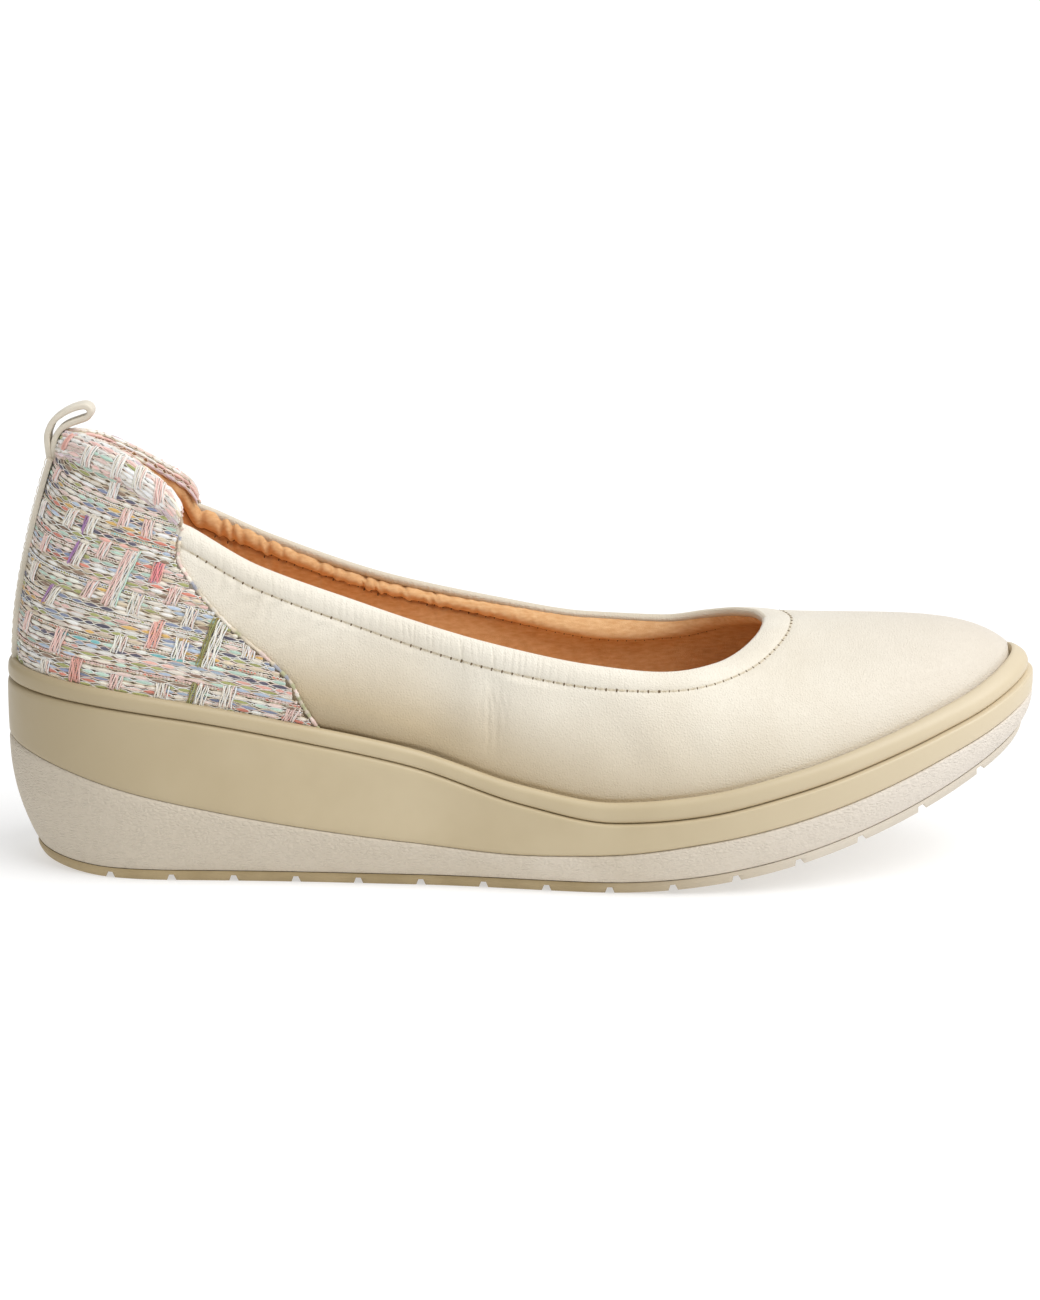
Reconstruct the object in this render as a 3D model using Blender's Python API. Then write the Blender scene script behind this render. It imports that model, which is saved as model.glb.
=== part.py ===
"""Slip-on wedge shoe for the right foot.

Rubber tread, foam wedge, moulded midsole cup, footbed, one hollow leather upper, a woven heel
counter, a leather strip up the back seam and a folded pull loop. +X points to the toe, +Y to the
inner side of the foot and +Z up, with the floor at z = 0. Sizes are in millimetres and become
metres where a mesh is made.
"""

from collections import namedtuple

import bmesh
import bpy
import numpy as np

MM = 0.001
GAP = 0.3

# Sole outline in plan: share of the length from the heel, axis and half width there
LENGTH = 257.0
PlanRow = namedtuple("PlanRow", "along axis half")
PLAN = [
    PlanRow(0.00, 0.0, 31.5),
    PlanRow(0.18, 0.0, 32.0),
    PlanRow(0.40, -1.5, 33.4),
    PlanRow(0.55, -2.5, 38.4),
    PlanRow(0.68, -1.2, 43.6),
    PlanRow(0.80, 1.5, 47.0),
    PlanRow(1.00, 5.5, 48.0),
]
HEEL_ROUND = 0.17
HEEL_POWER = 2.2
TOE_ROUND = 0.44
TOE_POWER = 2.1

# Underside: flat from the heel bevel to the start of the toe spring
SPRING_START = 16.0
SPRING_RADIUS = 190.0
BEVEL_START = -100.0
BEVEL_RADIUS = 90.0

# Side of the sole: heights above the underside, and how far in the wedge's foot stands
SoleRow = namedtuple("SoleRow", "x lip foam foot_inset")
SOLE = [
    SoleRow(-128.5, 51.6, 32.5, 6.5),
    SoleRow(-93.0, 47.2, 22.3, 4.6),
    SoleRow(-54.0, 40.4, 14.8, 4.0),
    SoleRow(-28.0, 35.0, 11.6, 3.4),
    SoleRow(0.0, 26.4, 9.4, 3.0),
    SoleRow(22.0, 22.9, 10.1, 2.8),
    SoleRow(45.0, 23.1, 11.3, 2.6),
    SoleRow(65.0, 23.7, 11.5, 2.6),
    SoleRow(85.0, 23.4, 11.3, 2.6),
    SoleRow(102.0, 22.4, 10.9, 2.6),
    SoleRow(115.0, 20.8, 9.8, 2.6),
    SoleRow(128.5, 19.6, 9.0, 2.6),
]
LipRow = namedtuple("LipRow", "x set_in width height")
LIP = [
    LipRow(-128.5, 0.2, 3.3, 4.8),
    LipRow(-70.0, 0.4, 3.5, 4.3),
    LipRow(-20.0, 0.5, 3.8, 4.4),
    LipRow(40.0, 0.7, 4.2, 5.2),
    LipRow(128.5, 1.2, 5.4, 5.4),
]
RECESS = 5.6

# Side profiles from the bottom up: how far a loop stands in, and its share of the way up
RimRow = namedtuple("RimRow", "inset share")
TREAD_SIDE = [
    RimRow(1.0, 0.00),
    RimRow(0.5, 0.25),
    RimRow(0.0, 0.70),
    RimRow(0.5, 1.00),
]
WEDGE_FOOT = 0.6
WEDGE_SIDE = [
    RimRow(0.1, 0.06),
    RimRow(0.1, 0.20),
    RimRow(0.1, 0.40),
    RimRow(0.1, 0.60),
    RimRow(0.1, 0.80),
    RimRow(0.1, 0.96),
    RimRow(0.5, 1.00),
]
CUP_SIDE = [
    RimRow(0.5, 0.00),
    RimRow(0.1, 0.07),
    RimRow(0.0, 0.50),
    RimRow(0.2, 0.86),
    RimRow(0.7, 0.97),
]
CUP_LIP = [
    RimRow(1.5, 0.04),
    RimRow(0.5, 0.14),
    RimRow(0.0, 0.36),
    RimRow(0.1, 0.68),
    RimRow(0.7, 0.91),
    RimRow(1.7, 1.00),
]
LIP_INNER = 0.89

TREAD_THICK = 2.6
GROOVE_FIRST = -101.5
GROOVE_PITCH = 15.35
GROOVE_COUNT = 15
GROOVE_MOUTH = 2.3
GROOVE_ROOT = 1.2
GROOVE_DEEP = 1.6

INSOLE_THICK = 2.8
INSOLE_EDGE = 0.7

# Topline of the upper by the turn round the shoe: 0 at the heel, 180 at the toe. Leans are the
# angles, inwards from upright, at which the wall leaves the lip and reaches the edge.
TopRow = namedtuple("TopRow", "turn x half z_outer z_inner lean_foot lean_edge")
TOPLINE = [
    TopRow(0.0, -112.4, 0.0, 107.3, 107.3, 0.0, 21.0),
    TopRow(15.0, -107.7, 10.6, 107.9, 105.9, 0.0, 21.0),
    TopRow(30.0, -97.5, 17.0, 104.8, 100.8, 0.0, 20.0),
    TopRow(40.0, -89.5, 19.7, 99.7, 95.7, 0.0, 19.0),
    TopRow(48.0, -81.5, 21.4, 93.3, 90.6, -3.0, 18.0),
    TopRow(60.0, -63.5, 23.7, 79.5, 78.9, -9.0, 18.0),
    TopRow(75.0, -36.5, 26.3, 68.7, 67.7, -18.0, 22.0),
    TopRow(90.0, -8.0, 28.6, 60.3, 61.0, -18.0, 30.0),
    TopRow(105.0, 17.0, 29.4, 55.2, 56.9, -10.0, 42.0),
    TopRow(120.0, 35.5, 27.8, 53.2, 56.2, 3.0, 58.0),
    TopRow(135.0, 47.0, 23.4, 54.3, 58.2, 20.0, 72.0),
    TopRow(150.0, 54.5, 16.0, 56.7, 60.0, 33.0, 82.0),
    TopRow(165.0, 59.0, 8.0, 59.5, 60.6, 43.0, 87.0),
    TopRow(180.0, 60.3, 0.0, 60.5, 60.5, 46.0, 88.5),
]
FOOT_HANDLE = 0.25
EDGE_HANDLE = 0.42
FOOT_BELOW_LIP = 1.0
WALL = 1.8
STEP_TURN = 48.2
STEP_HALF = 0.6
STEP_DROP = 5.2
STEP_FADE = 68.0

# Rows of the upper's wall. Below the collar band a row is a share of the way up to the band, and
# in the band it is a distance below the edge. Outset is how far the outer face stands proud.
WallRow = namedtuple("WallRow", "share below outset")
BAND = 7.0
WALL_ROWS = [
    WallRow(0.04, None, 0.0),
    WallRow(0.14, None, 0.0),
    WallRow(0.28, None, 0.0),
    WallRow(0.44, None, 0.0),
    WallRow(0.60, None, 0.0),
    WallRow(0.76, None, 0.0),
    WallRow(0.90, None, 0.0),
    WallRow(None, BAND, 0.0),
    WallRow(None, 5.4, 0.45),
    WallRow(None, 3.0, 0.75),
    WallRow(None, 0.9, 0.4),
]
EDGE_ROWS = [
    WallRow(None, 0.0, -0.3),
    WallRow(None, -0.3, -1.0),
    WallRow(None, 0.2, -1.9),
]
LINING_ROWS = [
    WallRow(None, 3.0, -2.3),
    WallRow(None, BAND, -WALL),
    WallRow(0.74, None, -WALL),
    WallRow(0.48, None, -WALL),
    WallRow(0.24, None, -WALL),
    WallRow(0.07, None, -WALL),
]

# Front seam of the heel counter: share of the wall's height, turn round the shoe
SeamRow = namedtuple("SeamRow", "share turn")
SEAM = [
    SeamRow(0.00, 67.6),
    SeamRow(0.25, 64.6),
    SeamRow(0.40, 62.9),
    SeamRow(0.54, 59.6),
    SeamRow(0.69, 53.4),
    SeamRow(0.81, 49.0),
    SeamRow(0.87, 47.5),
    SeamRow(1.00, 47.6),
]
COUNTER_THICK = 1.1
COUNTER_FOOT = 0.06
COUNTER_COLUMNS = 32

STRIP_THICK = 0.9
STRIP_WIDTH = 12.0
STRIP_COLUMNS = 6
STRIP_TOP = 5.6
STRIP_PROUD = 0.7

# Pull loop: centre line from the back strip over the top to the collar, from the collar's back edge
LoopRow = namedtuple("LoopRow", "x z")
LOOP = [
    LoopRow(-4.8, -3.4),
    LoopRow(-4.9, -1.2),
    LoopRow(-3.8, 2.2),
    LoopRow(-0.9, 5.2),
    LoopRow(2.6, 6.4),
    LoopRow(5.0, 6.2),
    LoopRow(5.9, 5.0),
    LoopRow(4.9, 3.8),
    LoopRow(2.2, 3.0),
    LoopRow(-0.4, 2.4),
]
LOOP_THICK = 1.3
LOOP_WIDTH = 7.0
LOOP_STEPS = 24

COLUMNS = 80
SMOOTH_ANGLE = 0.6

Finish = namedtuple("Finish", "color roughness")
FINISHES = {
    "tread_rubber": Finish((0.52, 0.44, 0.31), 0.6),
    "wedge_foam": Finish((0.72, 0.66, 0.58), 0.75),
    "midsole_cup": Finish((0.60, 0.51, 0.36), 0.45),
    "insole_suede": Finish((0.55, 0.30, 0.13), 0.85),
    "upper_leather": Finish((0.78, 0.70, 0.56), 0.45),
    "counter_tweed": Finish((0.56, 0.47, 0.43), 0.9),
    "strip_leather": Finish((0.74, 0.67, 0.55), 0.45),
    "loop_leather": Finish((0.76, 0.69, 0.57), 0.45),
}


def clear_scene():
    for item in list(bpy.data.objects):
        bpy.data.objects.remove(item, do_unlink=True)


def smooth_curve(rows, key, column, flat_ends=False):
    """Monotone cubic curve through one column of a table."""
    keys = np.array([getattr(row, key) for row in rows], float)
    values = np.array([getattr(row, column) for row in rows], float)
    steps = np.diff(keys)
    slopes = np.diff(values) / steps
    tangents = np.zeros(len(keys))
    if not flat_ends:
        tangents[0] = slopes[0]
        tangents[-1] = slopes[-1]
    for i in range(1, len(keys) - 1):
        before, after = slopes[i - 1], slopes[i]
        if before * after > 0.0:
            heavy = 2.0 * steps[i] + steps[i - 1]
            light = steps[i] + 2.0 * steps[i - 1]
            tangents[i] = (heavy + light) / (heavy / before + light / after)

    def evaluate(at):
        at = np.clip(at, keys[0], keys[-1])
        i = np.clip(np.searchsorted(keys, at) - 1, 0, len(steps) - 1)
        t = (at - keys[i]) / steps[i]
        rise = t * t * (3.0 - 2.0 * t)
        start = t * (1.0 - t) ** 2 * steps[i] * tangents[i]
        end = t * t * (t - 1.0) * steps[i] * tangents[i + 1]
        return values[i] + (values[i + 1] - values[i]) * rise + start + end

    return evaluate


plan_axis = smooth_curve(PLAN, "along", "axis")
plan_half = smooth_curve(PLAN, "along", "half")
lip_rise = smooth_curve(SOLE, "x", "lip")
foam_rise = smooth_curve(SOLE, "x", "foam")
foot_inset = smooth_curve(SOLE, "x", "foot_inset")
lip_set_in = smooth_curve(LIP, "x", "set_in")
lip_width = smooth_curve(LIP, "x", "width")
lip_height = smooth_curve(LIP, "x", "height")
top_x = smooth_curve(TOPLINE, "turn", "x", flat_ends=True)
top_half = smooth_curve(TOPLINE, "turn", "half")
top_outer = smooth_curve(TOPLINE, "turn", "z_outer", flat_ends=True)
top_inner = smooth_curve(TOPLINE, "turn", "z_inner", flat_ends=True)
lean_foot = smooth_curve(TOPLINE, "turn", "lean_foot", flat_ends=True)
lean_edge = smooth_curve(TOPLINE, "turn", "lean_edge", flat_ends=True)
seam_turn = smooth_curve(SEAM, "share", "turn")


def lap_and_side(turn):
    """Turn folded to 0..180, and which side it is on: -1 outer, +1 inner."""
    turn = np.mod(turn, 360.0)
    lap = np.where(turn <= 180.0, turn, 360.0 - turn)
    side = np.where(turn <= 180.0, -1.0, 1.0)
    return lap, side


def raw_outline(turn):
    lap, side = lap_and_side(np.asarray(turn, float))
    along = 0.5 - 0.5 * np.cos(np.radians(lap))
    heel = np.clip((HEEL_ROUND - along) / HEEL_ROUND, 0.0, 1.0)
    toe = np.clip((along - 1.0 + TOE_ROUND) / TOE_ROUND, 0.0, 1.0)
    cap = (1.0 - heel**HEEL_POWER) ** (1.0 / HEEL_POWER)
    cap = cap * (1.0 - toe**TOE_POWER) ** (1.0 / TOE_POWER)
    x = LENGTH * (along - 0.5)
    y = plan_axis(along) + side * plan_half(along) * cap
    return np.stack([x, y], axis=-1)


ALL_ROUND = np.linspace(0.0, 360.0, 721)
WIDEST = raw_outline(ALL_ROUND)[:, 1]
MIDDLE = 0.5 * (WIDEST.min() + WIDEST.max())


def sole_edge(turn, inset):
    """Plan points of the sole's outline, moved in by inset."""
    nudge = 0.5
    turn = np.asarray(turn, float)
    point = raw_outline(turn)
    along = raw_outline(turn + nudge) - raw_outline(turn - nudge)
    along = along / np.linalg.norm(along, axis=-1, keepdims=True)
    outward = np.stack([along[..., 1], -along[..., 0]], axis=-1)
    point = point - np.asarray(inset)[..., None] * outward
    point[..., 1] -= MIDDLE
    return point


def toe_spring(x):
    return np.clip(x - SPRING_START, 0.0, None) ** 2 / (2.0 * SPRING_RADIUS)


def underside(x):
    return toe_spring(x) + np.clip(BEVEL_START - x, 0.0, None) ** 2 / (2.0 * BEVEL_RADIUS)


def lip_top(x):
    return toe_spring(x) + lip_rise(x)


def foam_top(x):
    return toe_spring(x) + foam_rise(x)


def recess_floor(x):
    return lip_top(x) - RECESS


def loop_turns():
    """Columns round the shoe: a close pair at each topline step, and one where the toe spring starts."""
    turns = np.arange(COLUMNS) * 360.0 / COLUMNS
    spring = np.degrees(np.arccos(-2.0 * SPRING_START / LENGTH))
    for turn in (spring, 360.0 - spring):
        turns[np.argmin(np.abs(turns - turn))] = turn
    for step in (STEP_TURN, 360.0 - STEP_TURN):
        low, high = np.sort(np.argsort(np.abs(turns - step))[:2])
        turns[low] = step - STEP_HALF
        turns[high] = step + STEP_HALF
    return turns


TURNS = loop_turns()
OUTLINE_X = sole_edge(TURNS, 0.0 * TURNS)[:, 0]


def floor_ring(inset, height):
    """Loop near the floor: the outline moved in by inset, at a height that follows its own x."""
    xy = sole_edge(TURNS, np.broadcast_to(inset, TURNS.shape))
    return np.column_stack([xy, height(xy[:, 0])])


def side_ring(inset, height):
    """Loop of the sole's side: the outline moved in by inset, level with the outline's own x."""
    xy = sole_edge(TURNS, np.broadcast_to(inset, TURNS.shape))
    return np.column_stack([xy, height(OUTLINE_X)])


def ring_faces(count, first, second):
    """Quads between two closed loops of vertex numbers."""
    faces = []
    for i in range(count):
        after = (i + 1) % count
        faces.append((first + i, first + after, second + after, second + i))
    return faces


def ladder_faces(count, first):
    """Faces across a closed loop, each rung from one side of the shoe to the other."""
    faces = [(first, first + count - 1, first + 1)]
    for i in range(1, count // 2 - 1):
        faces.append((first + i, first + count - i, first + count - i - 1, first + i + 1))
    half = count // 2
    faces.append((first + half - 1, first + half + 1, first + half))
    return faces


def add_object(name, points, faces, material):
    mesh = bpy.data.meshes.new(name)
    mesh.from_pydata((np.asarray(points) * MM).tolist(), [], faces)
    shape = bmesh.new()
    shape.from_mesh(mesh)
    bmesh.ops.recalc_face_normals(shape, faces=shape.faces)
    shape.to_mesh(mesh)
    shape.free()
    mesh.shade_smooth()
    mesh.set_sharp_from_angle(angle=SMOOTH_ANGLE)
    mesh.materials.append(material)
    item = bpy.data.objects.new(name, mesh)
    bpy.context.scene.collection.objects.link(item)
    return item


def add_stack(name, rings, material):
    """Solid through a stack of loops, closed by a ladder of faces at each end."""
    count = len(rings[0])
    faces = []
    for i in range(len(rings) - 1):
        faces += ring_faces(count, i * count, (i + 1) * count)
    faces += ladder_faces(count, 0)
    faces += ladder_faces(count, (len(rings) - 1) * count)
    return add_object(name, np.concatenate(rings), faces, material)


def add_tube(name, rings, material):
    """Solid through a closed round of loops, the last joined to the first."""
    count = len(rings[0])
    faces = []
    for i in range(len(rings)):
        faces += ring_faces(count, i * count, (i + 1) % len(rings) * count)
    return add_object(name, np.concatenate(rings), faces, material)


def add_sheet(name, face_in, face_out, material):
    """Solid between two grids of points with the same rows and columns."""
    rows, columns = face_in.shape[:2]
    size = rows * columns
    faces = []
    for r in range(rows - 1):
        for c in range(columns - 1):
            a = r * columns + c
            quad = (a, a + 1, a + columns + 1, a + columns)
            faces.append(quad)
            faces.append(tuple(size + v for v in reversed(quad)))
    rim = [(0, c) for c in range(columns)]
    rim += [(r, columns - 1) for r in range(1, rows)]
    rim += [(rows - 1, c) for c in range(columns - 2, -1, -1)]
    rim += [(r, 0) for r in range(rows - 2, 0, -1)]
    border = [r * columns + c for r, c in rim]
    for here, there in zip(border, border[1:] + border[:1]):
        faces.append((here, there, size + there, size + here))
    points = np.concatenate([face_in.reshape(-1, 3), face_out.reshape(-1, 3)])
    return add_object(name, points, faces, material)


def finish(name):
    material = bpy.data.materials.new(name)
    material.use_nodes = True
    shader = material.node_tree.nodes["Principled BSDF"]
    shader.inputs["Base Color"].default_value = (*FINISHES[name].color, 1.0)
    shader.inputs["Roughness"].default_value = FINISHES[name].roughness
    shader.inputs["Metallic"].default_value = 0.0
    return material


def foam_side_inset(x, share):
    """How far the sole's side stands in, from the foot of the wedge (0) to its top (1)."""
    return foot_inset(x) * (1.0 - share) ** HEEL_POWER


def build_tread():
    edge = foam_side_inset(OUTLINE_X, 0.0)

    def level(share):
        return lambda x: underside(x) + share * TREAD_THICK

    rings = [floor_ring(edge + row.inset, level(row.share)) for row in TREAD_SIDE]
    tread = add_stack("tread", rings, finish("tread_rubber"))
    cut = tread.modifiers.new("grooves", "BOOLEAN")
    cut.operation = "DIFFERENCE"
    cut.solver = "EXACT"
    cut.object = groove_cutter()


def groove_cutter():
    """Trapezoid bars right across the tread, each square to the underside where it cuts."""
    reach = 70.0
    under = 2.0
    widen = (GROOVE_MOUTH - GROOVE_ROOT) / GROOVE_DEEP
    low_half = 0.5 * (GROOVE_MOUTH + under * widen)
    root_half = 0.5 * GROOVE_ROOT
    section = [
        (-low_half, -under),
        (low_half, -under),
        (root_half, GROOVE_DEEP),
        (-root_half, GROOVE_DEEP),
    ]
    corners = len(section)
    points = []
    faces = []
    for i in range(GROOVE_COUNT):
        centre = GROOVE_FIRST + i * GROOVE_PITCH
        slope = (underside(centre + 1.0) - underside(centre - 1.0)) / 2.0
        along = np.array([1.0, 0.0, slope]) / np.hypot(1.0, slope)
        up = np.array([-along[2], 0.0, along[0]])
        start = len(points)
        for y in (-reach, reach):
            foot = np.array([centre, y, underside(centre)])
            points += [foot + s * along + h * up for s, h in section]
        faces.append(tuple(range(start, start + corners)))
        faces.append(tuple(range(start + corners, start + 2 * corners)))
        faces += ring_faces(corners, start, start + corners)
    cutter = add_object("groove_cutter", points, faces, finish("tread_rubber"))
    cutter.hide_render = True
    cutter.display_type = "WIRE"
    return cutter


def build_wedge():
    def foam_bottom(x):
        return underside(x) + TREAD_THICK + GAP

    foot = foam_side_inset(OUTLINE_X, 0.0)
    low = foam_bottom(sole_edge(TURNS, foot)[:, 0])
    rings = [floor_ring(foot + WEDGE_FOOT, foam_bottom)]
    for row in WEDGE_SIDE:
        inset = foam_side_inset(OUTLINE_X, row.share) + row.inset
        height = low + row.share * (foam_top(OUTLINE_X) - low)
        rings.append(np.column_stack([sole_edge(TURNS, inset), height]))
    add_stack("wedge", rings, finish("wedge_foam"))


def build_midsole():
    set_in = lip_set_in(OUTLINE_X)
    width = lip_width(OUTLINE_X)

    def body(share):
        def height(x):
            low = foam_top(x) + GAP
            high = lip_top(x) - lip_height(x)
            return low + share * (high - low)

        return height

    def lip(share):
        return lambda x: lip_top(x) - (1.0 - share) * lip_height(x)

    rings = [side_ring(row.inset, body(row.share)) for row in CUP_SIDE]
    rings += [side_ring(set_in + row.inset, lip(row.share)) for row in CUP_LIP]
    rings.append(side_ring(width, lip(LIP_INNER)))
    rings.append(side_ring(width, recess_floor))
    add_stack("midsole", rings, finish("midsole_cup"))


def build_insole():
    edge = lip_width(OUTLINE_X) + GAP + WALL + 3.0 * GAP

    def level(rise):
        return lambda x: recess_floor(x) + GAP + rise

    rings = [
        side_ring(edge, level(0.0)),
        side_ring(edge, level(INSOLE_THICK - INSOLE_EDGE)),
        side_ring(edge + INSOLE_EDGE, level(INSOLE_THICK)),
    ]
    add_stack("insole", rings, finish("insole_suede"))


def upper_curve(turn):
    """The four control points of the upper's wall, from the lip up to the topline."""
    lap, side = lap_and_side(turn)
    outline_x = sole_edge(turn, 0.0 * lap)[..., 0]
    foot_xy = sole_edge(turn, lip_width(outline_x) + GAP)
    foot = np.concatenate([foot_xy, (lip_top(outline_x) - FOOT_BELOW_LIP)[..., None]], axis=-1)
    edge_x = top_x(lap)
    axis = plan_axis(edge_x / LENGTH + 0.5) - MIDDLE
    edge_z = np.where(side < 0.0, top_outer(lap), top_inner(lap))
    edge = np.stack([edge_x, axis + side * top_half(lap), edge_z], axis=-1)
    inward = edge - foot
    span = np.linalg.norm(inward, axis=-1, keepdims=True)
    inward[..., 2] = 0.0
    inward = inward / np.linalg.norm(inward, axis=-1, keepdims=True)
    up = np.array([0.0, 0.0, 1.0])

    def leaning(angle):
        angle = np.radians(angle)[..., None]
        return np.sin(angle) * inward + np.cos(angle) * up

    foot_handle = foot + FOOT_HANDLE * span * leaning(lean_foot(lap))
    edge_handle = edge - EDGE_HANDLE * span * leaning(lean_edge(lap))
    return foot, foot_handle, edge_handle, edge


def wall_point(turn, height):
    """Point on the upper's outer face: height is 0 at the lip and 1 at the full topline."""
    foot, foot_handle, edge_handle, edge = upper_curve(turn)
    t = np.asarray(height)[..., None]
    s = 1.0 - t
    return s**3 * foot + 3.0 * s**2 * t * foot_handle + 3.0 * s * t**2 * edge_handle + t**3 * edge


def wall_face(turn, height, outset):
    """The same point, moved out along the wall's normal."""
    turn = np.asarray(turn, float)
    height = np.asarray(height, float)
    nudge_turn, nudge_height = 0.5, 0.01
    along = wall_point(turn + nudge_turn, height) - wall_point(turn - nudge_turn, height)
    upward = wall_point(turn, height + nudge_height) - wall_point(turn, height - nudge_height)
    normal = np.cross(along, upward)
    normal = normal / np.linalg.norm(normal, axis=-1, keepdims=True)
    return wall_point(turn, height) + np.asarray(outset)[..., None] * normal


def edge_speed(turn):
    """Millimetres of wall for a whole unit of height, measured at the topline."""
    _, _, edge_handle, edge = upper_curve(turn)
    return 3.0 * np.linalg.norm(edge - edge_handle, axis=-1)


def edge_height(turn):
    """Height of the upper's edge: full under the tweed, lower where the leather collar starts."""
    lap, _ = lap_and_side(turn)
    drop = np.where(lap > STEP_TURN, collar_sag(lap), 0.0)
    return 1.0 - drop / edge_speed(turn)


def collar_sag(lap):
    """How far the leather collar hangs under the full topline, eased away on both sides of the step."""
    ahead = np.clip((STEP_FADE - lap) / (STEP_FADE - STEP_TURN), 0.0, 1.0)
    behind = np.clip(lap / STEP_TURN, 0.0, 1.0)
    return STEP_DROP * np.where(lap > STEP_TURN, ahead, behind) ** 2


def row_height(turn, row):
    speed = edge_speed(turn)
    if row.share is None:
        return edge_height(turn) - row.below / speed
    lap, _ = lap_and_side(turn)
    return row.share * (1.0 - (BAND + collar_sag(lap)) / speed)


def wall_ring(row):
    return wall_face(TURNS, row_height(TURNS, row), np.full(TURNS.shape, row.outset))


def build_upper():
    feather = lip_width(OUTLINE_X) + GAP

    def feather_height(x):
        return recess_floor(x) + GAP

    rings = [side_ring(feather, feather_height)]
    rings += [wall_ring(row) for row in WALL_ROWS + EDGE_ROWS + LINING_ROWS]
    rings.append(side_ring(feather + WALL, feather_height))
    add_tube("upper", rings, finish("upper_leather"))


def patch(rows, half_turn, columns, outset):
    """Grid of points over the heel, spread between -half_turn and +half_turn on each row."""
    across = np.linspace(-1.0, 1.0, columns + 1)
    grid = []
    for row in rows:
        middle_height = row_height(np.zeros(1), row)[0]
        turn = across * half_turn(middle_height)
        proud = np.full(turn.shape, row.outset + outset)
        grid.append(wall_face(turn, row_height(turn, row), proud))
    return np.array(grid)


def build_counter():
    rows = [WallRow(COUNTER_FOOT, None, 0.0)] + WALL_ROWS[1:]
    inner = patch(rows, seam_turn, COUNTER_COLUMNS, GAP)
    outer = patch(rows, seam_turn, COUNTER_COLUMNS, GAP + COUNTER_THICK)
    add_sheet("counter", inner, outer, finish("counter_tweed"))


def strip_half_turn(height):
    """Half the strip's width as a turn round the heel, wider in turn towards the narrow collar."""
    probe = np.array([-5.0, 5.0])
    across = wall_point(probe, np.full(probe.shape, height))[:, 1]
    return probe[1] * STRIP_WIDTH / np.ptp(across)


def build_back_strip():
    foot_row = WallRow(COUNTER_FOOT, None, 0.0)
    top_row = WallRow(None, STRIP_TOP, STRIP_PROUD)
    below_band = [row for row in WALL_ROWS[1:] if row.share or row.below == BAND]
    rows = [foot_row] + below_band + [top_row]
    base = GAP + COUNTER_THICK + GAP
    inner = patch(rows, strip_half_turn, STRIP_COLUMNS, base)
    outer = patch(rows, strip_half_turn, STRIP_COLUMNS, base + STRIP_THICK)
    add_sheet("back_strip", inner, outer, finish("strip_leather"))


def rounded_path(rows, steps):
    """Points spread along a smooth curve through the rows."""
    points = np.array([(row.x, row.z) for row in rows])
    padded = np.vstack([2.0 * points[0] - points[1], points, 2.0 * points[-1] - points[-2]])
    path = []
    for at in np.linspace(0.0, len(points) - 1.0, steps + 1):
        i = min(int(at), len(points) - 2)
        t = at - i
        before, start, end, after = padded[i : i + 4]
        bend = 2.0 * before - 5.0 * start + 4.0 * end - after
        twist = 3.0 * (start - end) + after - before
        path.append(0.5 * (2.0 * start + t * (end - before) + t * t * bend + t**3 * twist))
    return np.array(path)


def build_pull_loop():
    turn = np.zeros(1)
    edge = wall_point(turn, edge_height(turn))[0]
    path = rounded_path(LOOP, LOOP_STEPS) + edge[[0, 2]]
    along = np.gradient(path, axis=0)
    along = along / np.linalg.norm(along, axis=1, keepdims=True)
    side = np.column_stack([along[:, 1], -along[:, 0]])

    def band(reach):
        """Face of the strip: the path moved sideways by reach, at both of the strip's edges."""
        x, z = (path + reach * side).T
        edges = []
        for y in (-0.5 * LOOP_WIDTH, 0.5 * LOOP_WIDTH):
            edges.append(np.column_stack([x, np.full(len(x), edge[1] + y), z]))
        return np.stack(edges, axis=1)

    half = 0.5 * LOOP_THICK
    add_sheet("pull_loop", band(half), band(-half), finish("loop_leather"))


clear_scene()
build_tread()
build_wedge()
build_midsole()
build_insole()
build_upper()
build_counter()
build_back_strip()
build_pull_loop()
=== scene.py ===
import bmesh
import bpy
import numpy as np
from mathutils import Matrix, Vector


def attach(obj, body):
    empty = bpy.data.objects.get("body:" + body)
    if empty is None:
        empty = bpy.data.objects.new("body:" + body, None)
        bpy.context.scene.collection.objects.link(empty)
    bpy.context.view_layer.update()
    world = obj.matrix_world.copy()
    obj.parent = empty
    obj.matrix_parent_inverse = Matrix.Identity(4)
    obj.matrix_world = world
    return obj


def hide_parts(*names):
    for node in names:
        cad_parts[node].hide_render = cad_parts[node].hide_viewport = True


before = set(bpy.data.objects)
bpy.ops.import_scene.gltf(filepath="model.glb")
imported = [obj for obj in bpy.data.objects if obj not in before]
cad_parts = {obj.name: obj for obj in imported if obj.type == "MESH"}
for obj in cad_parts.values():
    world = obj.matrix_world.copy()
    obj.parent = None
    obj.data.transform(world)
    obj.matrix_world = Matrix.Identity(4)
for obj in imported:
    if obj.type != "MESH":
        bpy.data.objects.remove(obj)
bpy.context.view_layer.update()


# Tread: the thin outsole that meets the floor, pressed from beige rubber with grooves right across.
# It is cemented under the foam and follows the toe spring. Sizes here and below are millimetres, and
# the shoe's outline, worked out with this first piece, guides every piece above it.
MM = 0.001
GAP = 0.3
LENGTH = 257.0
HEEL_ROUND = 0.17
HEEL_POWER = 2.2
TOE_ROUND = 0.44
TOE_POWER = 2.1
SPRING_START = 16.0
SPRING_RADIUS = 190.0
BEVEL_START = -100.0
BEVEL_RADIUS = 90.0
TREAD_THICK = 2.6
TREAD_SIDE = ((1.0, 0.0), (0.5, 0.25), (0.0, 0.7), (0.15, 1.0))
GROOVE_FIRST = -101.5
GROOVE_PITCH = 15.35
GROOVE_COUNT = 15
GROOVE_MOUTH = 2.3
GROOVE_ROOT = 1.2
GROOVE_DEEP = 1.6
GROOVE_UNDER = 2.0
GROOVE_REACH = 70.0
SOLE_TURNS = np.arange(0.0, 360.0, 1.0)
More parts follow.
